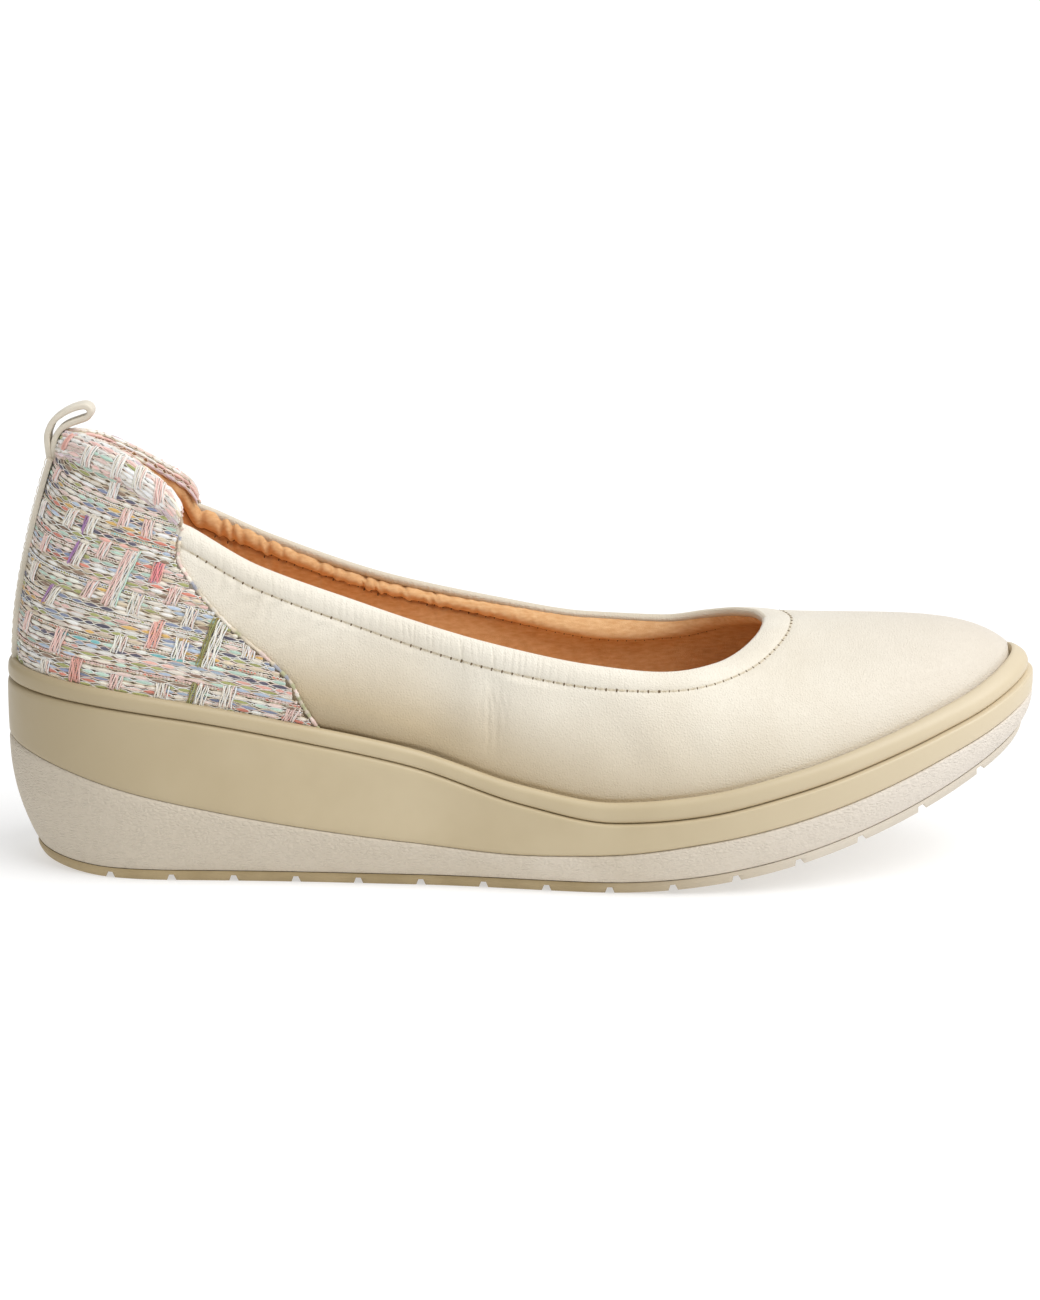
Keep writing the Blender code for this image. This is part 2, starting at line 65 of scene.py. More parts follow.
NUDGE_TURN = 0.5


def smooth_curve(keys, values, flat_ends=False):
    """Monotone cubic curve through values, or through whole loops of points, at rising keys."""
    keys = np.asarray(keys, float)
    values = np.asarray(values, float)
    spare = (1,) * (values.ndim - 1)
    steps = np.diff(keys).reshape(-1, *spare)
    slopes = np.diff(values, axis=0) / steps
    tangents = np.zeros_like(values)
    if not flat_ends:
        tangents[0] = slopes[0]
        tangents[-1] = slopes[-1]
    rising = slopes[:-1] * slopes[1:] > 0.0
    before = np.where(rising, slopes[:-1], 1.0)
    after = np.where(rising, slopes[1:], 1.0)
    heavy = 2.0 * steps[1:] + steps[:-1]
    light = steps[1:] + 2.0 * steps[:-1]
    weighted = heavy / before + light / after
    tangents[1:-1] = np.where(rising, (heavy + light) / np.where(rising, weighted, 1.0), 0.0)

    def evaluate(at):
        at = np.clip(np.asarray(at, float), keys[0], keys[-1])
        i = np.clip(np.searchsorted(keys, at) - 1, 0, len(keys) - 2)
        span = (keys[i + 1] - keys[i]).reshape(at.shape + spare)
        t = (at - keys[i]).reshape(at.shape + spare) / span
        rise = t * t * (3.0 - 2.0 * t)
        start = t * (1.0 - t) ** 2 * span * tangents[i]
        end = t * t * (t - 1.0) * span * tangents[i + 1]
        return values[i] + (values[i + 1] - values[i]) * rise + start + end

    return evaluate


def curves(*rows, flat_ends=False):
    """A smooth curve for each further column of a table, over its first column."""
    keys, *columns = np.array(rows, float).T
    return [smooth_curve(keys, values, flat_ends) for values in columns]


# Middle and half width of the sole's plan, from heel to toe
plan_axis, plan_half = curves(
    (0.00, 0.0, 31.5), (0.18, 0.0, 32.0), (0.40, -1.5, 33.4), (0.55, -2.5, 38.4), (0.68, -1.2, 43.6),
    (0.80, 1.5, 47.0), (1.00, 5.5, 48.0),
)
# Heights of the sole's lip and foam above the underside, and how far in the foot of the foam stands
lip_rise, foam_rise, foot_inset = curves(
    (-128.5, 51.6, 32.5, 6.5), (-93.0, 47.2, 22.3, 4.6), (-54.0, 40.4, 14.8, 4.0), (-28.0, 35.0, 11.6, 3.4),
    (0.0, 26.4, 9.4, 3.0), (22.0, 22.9, 10.1, 2.8), (45.0, 23.1, 11.3, 2.6), (65.0, 23.7, 11.5, 2.6),
    (85.0, 23.4, 11.3, 2.6), (102.0, 22.4, 10.9, 2.6), (115.0, 20.8, 9.8, 2.6), (128.5, 19.6, 9.0, 2.6),
)


def lap_and_side(turn):
    """Turn round the shoe folded to 0 at the heel and 180 at the toe, and -1 outer or +1 inner side."""
    turn = np.mod(np.asarray(turn, float), 360.0)
    outer = turn <= 180.0
    return np.where(outer, turn, 360.0 - turn), np.where(outer, -1.0, 1.0)


def raw_outline(turn):
    """Plan points of the sole's outline, before its width is centred."""
    lap, side = lap_and_side(turn)
    along = 0.5 - 0.5 * np.cos(np.radians(lap))
    heel = np.clip((HEEL_ROUND - along) / HEEL_ROUND, 0.0, 1.0)
    toe = np.clip((along - 1.0 + TOE_ROUND) / TOE_ROUND, 0.0, 1.0)
    cap = (1.0 - heel**HEEL_POWER) ** (1.0 / HEEL_POWER)
    cap = cap * (1.0 - toe**TOE_POWER) ** (1.0 / TOE_POWER)
    x = LENGTH * (along - 0.5)
    return np.stack([x, plan_axis(along) + side * plan_half(along) * cap], axis=-1)


widest = raw_outline(np.linspace(0.0, 360.0, 721))[:, 1]
MIDDLE = 0.5 * (widest.min() + widest.max())


def sole_edge(turn, inset=0.0):
    """Plan points of the sole's outline, moved in by inset."""
    along = raw_outline(turn + NUDGE_TURN) - raw_outline(turn - NUDGE_TURN)
    along = along / np.linalg.norm(along, axis=-1, keepdims=True)
    outward = np.stack([along[..., 1], -along[..., 0]], axis=-1)
    point = raw_outline(turn) - np.asarray(inset)[..., None] * outward
    point[..., 1] -= MIDDLE
    return point


def toe_spring(x):
    return np.clip(x - SPRING_START, 0.0, None) ** 2 / (2.0 * SPRING_RADIUS)


def underside(x):
    return toe_spring(x) + np.clip(BEVEL_START - x, 0.0, None) ** 2 / (2.0 * BEVEL_RADIUS)


OUTLINE_X = sole_edge(SOLE_TURNS)[:, 0]
FOAM_FOOT = foot_inset(OUTLINE_X)


def floor_ring(inset, rise):
    """Loop near the floor, as high above the underside as rise."""
    xy = sole_edge(SOLE_TURNS, inset)
    return np.column_stack([xy, underside(xy[:, 0]) + rise])


def refine(loops, steps):
    """More loops between the given ones, on smooth curves from loop to loop."""
    loops = np.asarray(loops)
    apart = np.linalg.norm(np.diff(loops, axis=0), axis=-1).mean(axis=1)
    keys = np.concatenate([[0.0], np.cumsum(apart)])
    at = np.interp(np.arange((len(loops) - 1) * steps + 1) / steps, np.arange(len(loops)), keys)
    return smooth_curve(keys, loops)(at)


def loop_faces(rows, count, closed=False, around=True):
    """Quads from each row of points to the next, closed from the last to the first, or around each row."""
    here = np.arange(rows if closed else rows - 1)[:, None]
    there = (here + 1) % rows
    point = np.arange(count if around else count - 1)[None]
    after = (point + 1) % count
    corners = [here * count + point, here * count + after, there * count + after, there * count + point]
    return np.stack(corners, axis=-1).reshape(-1, 4).tolist()


def ladder_faces(count, first):
    """Faces across a loop, each rung from one side of the shoe to the other."""
    half = count // 2
    faces = [(first, first + count - 1, first + 1)]
    for i in range(1, half - 1):
        faces.append((first + i, first + count - i, first + count - i - 1, first + i + 1))
    faces.append((first + half - 1, first + half + 1, first + half))
    return faces


def add_piece(name, points, faces, material, sharp_angle=0.7):
    """Smooth-shaded mesh object from points in millimetres, with its faces turned outwards."""
    mesh = bpy.data.meshes.new(name)
    mesh.from_pydata((np.asarray(points).reshape(-1, 3) * MM).tolist(), [], faces)
    shape = bmesh.new()
    shape.from_mesh(mesh)
    bmesh.ops.recalc_face_normals(shape, faces=shape.faces)
    shape.to_mesh(mesh)
    shape.free()
    mesh.shade_smooth()
    mesh.set_sharp_from_angle(angle=sharp_angle)
    mesh.materials.append(material)
    piece = bpy.data.objects.new(name, mesh)
    bpy.context.scene.collection.objects.link(piece)
    return piece


def add_stack(name, loops, material):
    """Solid through a stack of loops, closed by a ladder of faces at each end."""
    rows, count = loops.shape[:2]
    faces = loop_faces(rows, count) + ladder_faces(count, 0) + ladder_faces(count, (rows - 1) * count)
    return add_piece(name, loops, faces, material)


def settle(piece):
    """The piece's mesh as its modifiers leave it, with the modifiers taken off."""
    depsgraph = bpy.context.evaluated_depsgraph_get()
    shape = piece.evaluated_get(depsgraph)
    piece.data = bpy.data.meshes.new_from_object(shape, preserve_all_data_layers=True, depsgraph=depsgraph)
    piece.modifiers.clear()


def fit(piece, slot, *nodes):
    """The piece moves with the shoe and stands for nodes of the frame."""
    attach(piece, "root")
    if nodes:
        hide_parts(*nodes)


def shade(red, green, blue):
    """Colour from its 0 to 255 screen values."""
    screen = np.array([red, green, blue]) / 255.0
    linear = np.where(screen <= 0.04045, screen / 12.92, ((screen + 0.055) / 1.055) ** 2.4)
    return (*linear.tolist(), 1.0)


def place(tree, kind, settings=None, **sockets):
    """First live output of a new node, whose inputs are set to values or linked to other outputs."""
    node = tree.nodes.new(kind)
    for name, value in (settings or {}).items():
        setattr(node, name, value)
    for name, value in sockets.items():
        words = name.replace("_", " ")
        socket = next(s for s in node.inputs if name == s.identifier or words in (s.identifier, s.name))
        if isinstance(value, bpy.types.NodeSocket):
            tree.links.new(value, socket)
        else:
            socket.default_value = value
    return next(socket for socket in node.outputs if socket.enabled)


def node_group(kind, name, inputs, outputs):
    """Empty node group with sockets of the given types, and these sockets as its nodes see them."""
    tree = bpy.data.node_groups.new(name, kind)
    for in_out, sockets in (("INPUT", inputs), ("OUTPUT", outputs)):
        for socket, socket_type in sockets.items():
            tree.interface.new_socket(socket, in_out=in_out, socket_type="NodeSocket" + socket_type)
    return tree, tree.nodes.new("NodeGroupInput").outputs, tree.nodes.new("NodeGroupOutput").inputs


inputs = {"Vector": "Vector", "Scale": "Float"}
mottle, given, result = node_group("ShaderNodeTree", "Mottle", inputs, {"Tone": "Float"})
cloud = place(
    mottle, "ShaderNodeTexNoise", Vector=given["Vector"], Scale=given["Scale"], Detail=3.0, Roughness=0.55
)
spread = place(mottle, "ShaderNodeMapRange", Value=cloud, From_Min=0.3, From_Max=0.7)
mottle.links.new(spread, result["Tone"])

inputs["Pore Scale"] = "Float"
grain, given, result = node_group("ShaderNodeTree", "Grain", inputs, {"Height": "Float"})
to_edge = {"feature": "DISTANCE_TO_EDGE"}
cells = place(grain, "ShaderNodeTexVoronoi", to_edge, Vector=given["Vector"], Scale=given["Scale"])
domes = place(grain, "ShaderNodeMapRange", Value=cells, From_Max=0.4)
pores = place(grain, "ShaderNodeTexNoise", Vector=given["Vector"], Scale=given["Pore Scale"], Detail=2.0)
joined = place(grain, "ShaderNodeMix", Factor_Float=0.45, A_Float=domes, B_Float=pores)
grain.links.new(joined, result["Height"])


def paint(material, share, color):
    """Passes a material's base colour over to another colour, by a share from 0 to 1."""
    tree = material.node_tree
    base = tree.nodes["Principled BSDF"].inputs["Base Color"]
    under = base.links[0].from_socket if base.is_linked else base.default_value
    colors = {"A_Color": under, "B_Color": color}
    tree.links.new(place(tree, "ShaderNodeMix", {"data_type": "RGBA"}, Factor_Float=share, **colors), base)


def new_material(
    name, dark, light, patch, stretch=1.0, tints=(), rough=None, relief=None, flat=1.0, **values
):
    """Material that drifts between two tones, in patches that may be stretched along the shoe.

    A tint gives where along the shoe it starts, where it is full, and its colour; the tints are painted light
    and shade along the shoe. rough gives the size of patches of roughness, and its least and most. relief
    gives the sizes of cells and of pores, and how deep they are, and flat below 1 makes them longer than
    tall. Sizes are millimetres.
    """
    material = bpy.data.materials.new(name)
    material.use_nodes = True
    tree = material.node_tree
    shader = tree.nodes["Principled BSDF"]
    shader.inputs["Base Color"].default_value = dark
    for socket, value in values.items():
        shader.inputs[socket.replace("_", " ")].default_value = value
    coords = place(tree, "ShaderNodeTexCoord").node.outputs["Object"]

    def scaled(x, y):
        return place(tree, "ShaderNodeMapping", Vector=coords, Scale=(x, y, 1.0))

    def tone(vector, size):
        return place(tree, "ShaderNodeGroup", {"node_tree": mottle}, Vector=vector, Scale=1.0 / (size * MM))

    if light:
        paint(material, tone(scaled(1.0 / stretch, 1.0), patch), light)
    for start, end, tint in tints:
        x = place(tree, "ShaderNodeSeparateXYZ", Vector=coords)
        share = place(tree, "ShaderNodeMapRange", Value=x, From_Min=start * MM, From_Max=end * MM)
        paint(material, share, tint)
    if rough:
        size, low, high = rough
        drift = place(tree, "ShaderNodeMapRange", Value=tone(coords, size), To_Min=low, To_Max=high)
        tree.links.new(drift, shader.inputs["Roughness"])
    if relief:
        cell, pore, deep = relief
        scales = {"Scale": 1.0 / (cell * MM), "Pore_Scale": 1.0 / (pore * MM)}
        height = place(tree, "ShaderNodeGroup", {"node_tree": grain}, Vector=scaled(flat, flat), **scales)
        bump = place(tree, "ShaderNodeBump", Distance=deep * MM, Height=height)
        tree.links.new(bump, shader.inputs["Normal"])
    return material


# Painted light: the rubber is tinted paler towards the toe, where the tread lifts clear of the floor's shadow
rubber = new_material(
    "tread_rubber", shade(164, 144, 106), shade(179, 159, 121), 9.0, rough=(4.0, 0.5, 0.68),
    tints=[(15.0, 72.0, shade(216, 206, 190))], relief=(0.5, 0.2, 0.05), Specular_IOR_Level=0.4,
)


def groove_bars():
    """Trapezoid bars right across the tread, each square to the underside where it cuts."""
    widen = (GROOVE_MOUTH - GROOVE_ROOT) / GROOVE_DEEP
    low = 0.5 * (GROOVE_MOUTH + GROOVE_UNDER * widen)
    root = 0.5 * GROOVE_ROOT
    section = [(-low, -GROOVE_UNDER), (low, -GROOVE_UNDER), (root, GROOVE_DEEP), (-root, GROOVE_DEEP)]
    corners = len(section)
    points = []
    faces = []
    for i in range(GROOVE_COUNT):
        centre = GROOVE_FIRST + i * GROOVE_PITCH
        slope = 0.5 * (underside(centre + 1.0) - underside(centre - 1.0))
        along = np.array([1.0, 0.0, slope]) / np.hypot(1.0, slope)
        up = np.array([-along[2], 0.0, along[0]])
        start = len(points)
        for y in (-GROOVE_REACH, GROOVE_REACH):
            foot = np.array([centre, y, underside(centre)])
            points += [foot + s * along + h * up for s, h in section]
        faces.append(tuple(range(start, start + corners)))
        faces.append(tuple(range(start + corners, start + 2 * corners)))
        faces += [tuple(start + v for v in quad) for quad in loop_faces(2, corners)]
    return add_piece("groove_bars", points, faces, rubber)


tread_loops = [floor_ring(FOAM_FOOT + inset, share * TREAD_THICK) for inset, share in TREAD_SIDE]
tread = add_stack("tread_outsole", refine(tread_loops, 3), rubber)
bars = groove_bars()
cut = tread.modifiers.new("grooves", "BOOLEAN")
cut.solver = "EXACT"
cut.object = bars
settle(tread)
bpy.data.objects.remove(bars)
fit(tread, "tread", "tread")


# Wedge: the block of light foam that lifts the heel, off-white with a faint pink and a fine pebbled
# skin from its mould. It is thick under the heel, thin under the ball, and glued to the tread and the cup.
FOAM_FOOT_ROUND = 0.3
FOAM_FLARE = 2.2
FOAM_SIDE = ((0.1, 0.06), (0.1, 0.20), (0.1, 0.40), (0.1, 0.60), (0.1, 0.80), (0.1, 0.96), (0.5, 1.00))

# Painted light and shade: the foam is tinted darker towards the heel and paler towards the toe, as the light
# falls from the toe's side
foam = new_material(
    "wedge_foam", shade(207, 195, 176), shade(217, 206, 189), 14.0, rough=(3.0, 0.62, 0.78),
    tints=[(10.0, -110.0, shade(202, 191, 173)), (30.0, 105.0, shade(228, 219, 207))],
    relief=(0.8, 0.36, 0.32), flat=0.5, Specular_IOR_Level=0.35,
)
foam_base = TREAD_THICK + 0.5 * GAP
foam_low = underside(sole_edge(SOLE_TURNS, FOAM_FOOT)[:, 0]) + foam_base
foam_high = toe_spring(OUTLINE_X) + foam_rise(OUTLINE_X)
foam_loops = [floor_ring(FOAM_FOOT + FOAM_FOOT_ROUND, foam_base)]
for inset, share in FOAM_SIDE:
    xy = sole_edge(SOLE_TURNS, FOAM_FOOT * (1.0 - share) ** FOAM_FLARE + inset)
    foam_loops.append(np.column_stack([xy, foam_low + share * (foam_high - foam_low)]))
wedge = add_stack("wedge_foam", refine(foam_loops, 3), foam)
fit(wedge, "wedge", "wedge")


# Cup midsole: one moulding of beige, satin polymer with a rounded lip round the top and a fine groove
# under it. The upper stands in its recess, and its lower edge sits on the foam wedge.
RECESS = 5.6
LIP_INNER = 0.89
TOE_THIN_START = 50.0
TOE_THIN_LONG = 78.0
lip_set_in, lip_width, lip_height = curves(
    (-128.5, 0.2, 3.3, 4.8), (-70.0, 0.4, 3.5, 4.3), (-20.0, 0.5, 3.8, 4.4), (40.0, 0.7, 4.2, 5.2),
    (128.5, 1.2, 5.4, 5.4),
)
# Inset of the side under the lip, and its share of the height up to the groove
CUP_SIDE = ((0.5, 0.0), (0.1, 0.07), (0.0, 0.5), (0.05, 0.88), (0.25, 0.955), (0.7, 0.985), (1.4, 1.0))
# Inset of the lip and its share of the height, and how far both give way where it thins out round the toe
LIP_SIDE = (
    (1.5, 0.01, 0.0, 0.0), (0.6, 0.05, 0.0, 0.0), (0.15, 0.15, 0.0, 0.0), (0.0, 0.36, 0.1, 0.04),
    (0.1, 0.68, 0.5, 0.12), (0.7, 0.91, 1.2, 0.14), (1.7, 1.0, 1.9, 0.08),
)


def lip_top(x):
    return toe_spring(x) + lip_rise(x)


def side_ring(inset, height):
    """Loop of the sole's side: the outline moved in by inset, at heights for each of its points."""
    return np.column_stack([sole_edge(SOLE_TURNS, inset), height])


# Painted light and shade: the cup is tinted darker towards the heel and lighter towards the toe, as the light
# falls from the toe's side
cup = new_material(
    "midsole_cup", shade(191, 174, 140), shade(200, 184, 151), 22.0, rough=(6.0, 0.4, 0.5),
    tints=[(-55.0, -125.0, shade(170, 154, 122)), (30.0, 115.0, shade(214, 199, 170))],
    relief=(0.35, 0.16, 0.012), Specular_IOR_Level=0.45, Coat_Weight=0.06, Coat_Roughness=0.3,
)
LIP_TOP = lip_top(OUTLINE_X)
LIP_TALL = lip_height(OUTLINE_X)
SET_IN = lip_set_in(OUTLINE_X)
CUP_WALL = lip_width(OUTLINE_X)
RECESS_FLOOR = LIP_TOP - RECESS
body_low = foam_high + 0.5 * GAP
body_tall = LIP_TOP - LIP_TALL - body_low
toe_thin = np.clip((OUTLINE_X - TOE_THIN_START) / TOE_THIN_LONG, 0.0, 1.0) ** 2
cup_loops = [side_ring(inset, body_low + share * body_tall) for inset, share in CUP_SIDE]
for inset, share, toe_inset, toe_drop in LIP_SIDE:
    height = LIP_TOP - (1.0 - share + toe_drop * toe_thin) * LIP_TALL
    cup_loops.append(side_ring(SET_IN + inset + toe_inset * toe_thin, height))
cup_loops.append(side_ring(CUP_WALL, LIP_TOP - (1.0 - LIP_INNER) * LIP_TALL))
cup_loops = np.concatenate([refine(cup_loops, 4), [side_ring(CUP_WALL, RECESS_FLOOR)]])
midsole = add_stack("midsole_cup", cup_loops, cup)
fit(midsole, "midsole", "midsole")


# Insole: the footbed, a board covered in tan microsuede with a soft, brushed nap. It lies in the
# recess of the cup, inside the upper.
WALL = 1.8
INSOLE_THICK = 2.8
INSOLE_EDGE = 0.7
INSOLE_ROUND = ((0.0, 1.0), (0.3, 0.3), (1.0, 0.0))
SUEDE_DARK = shade(223, 170, 117)
SUEDE_LIGHT = shade(242, 198, 147)


def suede_material(name):
    """Tan microsuede: brushed patches of two tones, a soft sheen and a short nap."""
    return new_material(
        name, SUEDE_DARK, SUEDE_LIGHT, 0.8, stretch=3.0, relief=(0.3, 0.14, 0.09), Roughness=0.95,
        Specular_IOR_Level=0.15, Sheen_Weight=0.2, Sheen_Tint=SUEDE_LIGHT,
    )


insole_edge = CUP_WALL + GAP + WALL + 3.0 * GAP
insole_top = RECESS_FLOOR + GAP + INSOLE_THICK
insole_loops = [side_ring(insole_edge, RECESS_FLOOR + GAP)]
for inset, drop in INSOLE_ROUND:
    insole_loops.append(side_ring(insole_edge + inset * INSOLE_EDGE, insole_top - drop * INSOLE_EDGE))
insole = add_stack("insole_suede", np.array(insole_loops), suede_material("insole_suede"))
fit(insole, "insole", "insole")


# Upper: cream, smooth leather with a fine grain, lasted over the foot and cemented into the cup. Its
# edge is turned over an elastic, which gathers the collar into fine pleats, and the waist has a few
# soft creases from the last.
FOOT_HANDLE = 0.25
EDGE_HANDLE = 0.42
NUDGE_HEIGHT = 0.01
STEP_TURN = 48.2
STEP_MIDDLE = 46.2
STEP_HALF = 2.3
STEP_DROP = 5.2
STEP_FADE = 74.0
HEM_CUT = 1.2
LEATHER_THICK = 1.0
SEAM_BELOW = 6.3
BAND_FOOT = 2.6
BAND_TOP = 0.9
RIM_BELOWS = (0.62, 0.4, 0.2, 0.0, -0.14, -0.24, -0.3)
RIM_TURNED_IN = ((-0.25, 1.4), (-0.05, 1.8), (0.4, 2.1), (1.0, 2.2), (1.6, 2.15), (2.1, 1.8), (2.3, 1.1))
RIM_GATHERED_AT = 2.0
COLLAR_TURN = 45.0
COLLAR_BLEND = 5.0

# The topline round the shoe: place along it, height on the outer and on the inner side, and how far the
# wall leans in at the lip and at the topline
top_x, top_outer, top_inner, lean_foot, lean_edge = curves(
    (0.0, -112.4, 107.3, 107.3, 0.0, 21.0), (15.0, -107.7, 107.9, 105.9, 0.0, 21.0),
    (30.0, -97.5, 104.8, 100.8, -1.0, 20.0), (40.0, -89.5, 99.7, 95.7, -2.0, 19.0),
    (48.0, -81.5, 93.3, 90.6, -5.0, 18.0), (60.0, -63.5, 79.5, 78.9, -21.0, 18.0),
    (75.0, -36.5, 68.7, 67.7, -37.0, 22.0), (90.0, -8.0, 60.3, 61.0, -35.0, 30.0),
    (105.0, 17.0, 55.2, 56.9, -21.0, 42.0), (120.0, 35.5, 53.2, 56.2, -2.0, 58.0),
    (135.0, 47.0, 54.3, 58.2, 19.0, 72.0), (150.0, 54.5, 56.7, 60.0, 33.0, 82.0),
    (165.0, 59.0, 59.5, 60.6, 43.0, 87.0), (180.0, 60.3, 60.5, 60.5, 46.0, 88.5), flat_ends=True,
)
(top_half,) = curves(
    (0.0, 0.0), (15.0, 10.6), (30.0, 17.0), (40.0, 19.7), (48.0, 21.4), (60.0, 23.7), (75.0, 26.3),
    (90.0, 28.6), (105.0, 29.4), (120.0, 27.8), (135.0, 23.4), (150.0, 16.0), (165.0, 8.0), (180.0, 0.0),
)
# How far below the lip's top the leather meets it, less where the lip thins out at the toe
(foot_sunk,) = curves((0.0, 1.0), (125.0, 1.0), (155.0, 0.5), (180.0, 0.4))


def ease(share):
    """Share from 0 to 1 with soft ends."""
    share = np.clip(share, 0.0, 1.0)
    return share * share * (3.0 - 2.0 * share)


def upper_curve(turn):
    """The four control points of the upper's wall, from the lip up to the topline."""
    lap, side = lap_and_side(turn)
    outline_x = sole_edge(turn)[..., 0]
    foot_xy = sole_edge(turn, lip_width(outline_x) + GAP)
    foot = np.concatenate([foot_xy, (lip_top(outline_x) - foot_sunk(lap))[..., None]], axis=-1)
    edge_x = top_x(lap)
    axis = plan_axis(edge_x / LENGTH + 0.5) - MIDDLE
    edge_z = np.where(side < 0.0, top_outer(lap), top_inner(lap))
    edge = np.stack([edge_x, axis + side * top_half(lap), edge_z], axis=-1)
    inward = edge - foot
    span = np.linalg.norm(inward, axis=-1, keepdims=True)
    inward[..., 2] = 0.0
    inward = inward / np.linalg.norm(inward, axis=-1, keepdims=True)
    up = np.array([0.0, 0.0, 1.0])

    def leaning(angle):
        angle = np.radians(angle)[..., None]
        return np.sin(angle) * inward + np.cos(angle) * up

    foot_handle = foot + FOOT_HANDLE * span * leaning(lean_foot(lap))
    edge_handle = edge - EDGE_HANDLE * span * leaning(lean_edge(lap))
    return foot, foot_handle, edge_handle, edge


def wall_point(turn, height):
    """Point on the upper's outer face: height is 0 at the lip and 1 at the full topline."""
    foot, foot_handle, edge_handle, edge = upper_curve(turn)
    t = np.asarray(height)[..., None]
    s = 1.0 - t
    return s**3 * foot + 3.0 * s**2 * t * foot_handle + 3.0 * s * t**2 * edge_handle + t**3 * edge


def wall_normal(turn, height):
    along = wall_point(turn + NUDGE_TURN, height) - wall_point(turn - NUDGE_TURN, height)
    upward = wall_point(turn, height + NUDGE_HEIGHT) - wall_point(turn, height - NUDGE_HEIGHT)
    normal = np.cross(along, upward)
    return normal / np.linalg.norm(normal, axis=-1, keepdims=True)


def wall_face(turn, height, outset):
    """Point moved out from the upper's outer face along its normal."""
    return wall_point(turn, height) + np.asarray(outset)[..., None] * wall_normal(turn, height)


def edge_speed(turn):
    """Millimetres of wall for a whole unit of height, measured at the topline."""
    _, _, edge_handle, edge = upper_curve(turn)
    return 3.0 * np.linalg.norm(edge - edge_handle, axis=-1)


def collar_sag(lap):
    """How far the leather collar hangs under the full topline, eased away on both sides of the step."""
    ahead = np.clip((STEP_FADE - lap) / (STEP_FADE - STEP_TURN), 0.0, 1.0)
    behind = np.clip(lap / STEP_TURN, 0.0, 1.0)
    return STEP_DROP * np.where(lap > STEP_TURN, ahead, behind) ** 2


def edge_height(turn):
    """Height of the upper's edge: full under the tweed, lower where the leather collar starts."""
    lap, _ = lap_and_side(turn)
    step = ease((lap - STEP_MIDDLE + STEP_HALF) / (2.0 * STEP_HALF))
    return 1.0 - step * collar_sag(lap) / edge_speed(turn)


def half_turns(*stretches):
    """Turns from heel to toe, from stretches: where each ends, and the step within it."""
    half = [np.zeros(1)]
    for end, step in stretches:
        start = half[-1][-1]
        count = int(round((end - start) / step))
        half.append(start + (end - start) * np.arange(1, count + 1) / count)
    return np.concatenate(half)


outer_turns = half_turns((42.0, 1.0), (50.0, 0.3), (76.0, 0.17), (100.0, 0.09), (126.0, 0.25), (180.0, 0.6))
inner_turns = half_turns((42.0, 1.2), (50.0, 0.4), (100.0, 0.26), (128.0, 0.4), (180.0, 0.9))
TURNS = np.concatenate([outer_turns, 360.0 - inner_turns[-2:0:-1]])
UPPER_X = sole_edge(TURNS)[:, 0]
LAP, SIDE = lap_and_side(TURNS)
OUTER_SIDE = SIDE < 0.0
COLLAR_SHARE = ease((LAP - COLLAR_TURN) / COLLAR_BLEND)
EDGE = edge_height(TURNS)
EDGE_SPEED = edge_speed(TURNS)
(seam_below,) = curves((0.0, 5.9), (58.0, 5.9), (68.0, 6.4), (85.0, 7.6), (130.0, 7.6), (180.0, 7.0))
SEAM_SCALE = SEAM_BELOW / seam_below(LAP)

# Pleats of the gathered collar: how strongly it is drawn in along the shoe, and each pleat's spacing,
# half width, depth, and how far it runs on below the seam and leans
GATHER_START = -78.0
GATHER_END = 40.0
PLEAT_GAP = 1.5
PLEAT_WIDE = (0.16, 0.4)
PLEAT_DEEP = 0.22
PLEAT_DEPTHS = (0.35, 1.0)
PLEAT_TAILS = (1.0, 6.0)
PLEAT_LEANS = (-0.14, 0.14)
PLEAT_GAPS = (0.55, 1.5)
PLEAT_AT_EDGE = 0.35
PLEAT_GROWTH = 0.3
PLEAT_UNDER_SEAM = 0.6
(draw_at,) = curves(
    (GATHER_START, 0.6), (-55.0, 0.5), (-35.0, 0.7), (-22.0, 1.0), (-4.0, 0.9), (8.0, 0.8), (22.0, 0.35),
    (GATHER_END, 0.0),
)


def pleat_rows(seed, gap, drawn_in, widths):
    rng = np.random.default_rng(seed)
    rows = []
    x = GATHER_START
    while x < GATHER_END:
        deep = drawn_in(x) * rng.uniform(*PLEAT_DEPTHS)
        rows.append((x, rng.uniform(*widths), deep, rng.uniform(*PLEAT_TAILS), rng.uniform(*PLEAT_LEANS)))
        x += gap * rng.uniform(*PLEAT_GAPS)
    return rows


def pleats(both_sides, x, below, seam, outer=OUTER_SIDE):
    """Depth of the outer or inner pleats, soft at the edge, nipped at the seam and fading out under it."""
    depths = []
    top = np.clip(PLEAT_AT_EDGE + PLEAT_GROWTH * below, 0.0, 1.0)
    for rows in both_sides:
        total = np.zeros_like(x)
        for at, width, deep, tail, lean in rows:
            near = np.exp(-(((x - at - lean * below) / width) ** 2))
            fade = PLEAT_UNDER_SEAM * np.exp(-(((below - seam) / tail) ** 2))
            total += deep * near * top * np.where(below < seam, 1.0, fade)
        depths.append(total)
    return np.where(outer, *depths)


LEATHER_PLEATS = [pleat_rows(seed, PLEAT_GAP, draw_at, PLEAT_WIDE) for seed in (5, 6)]
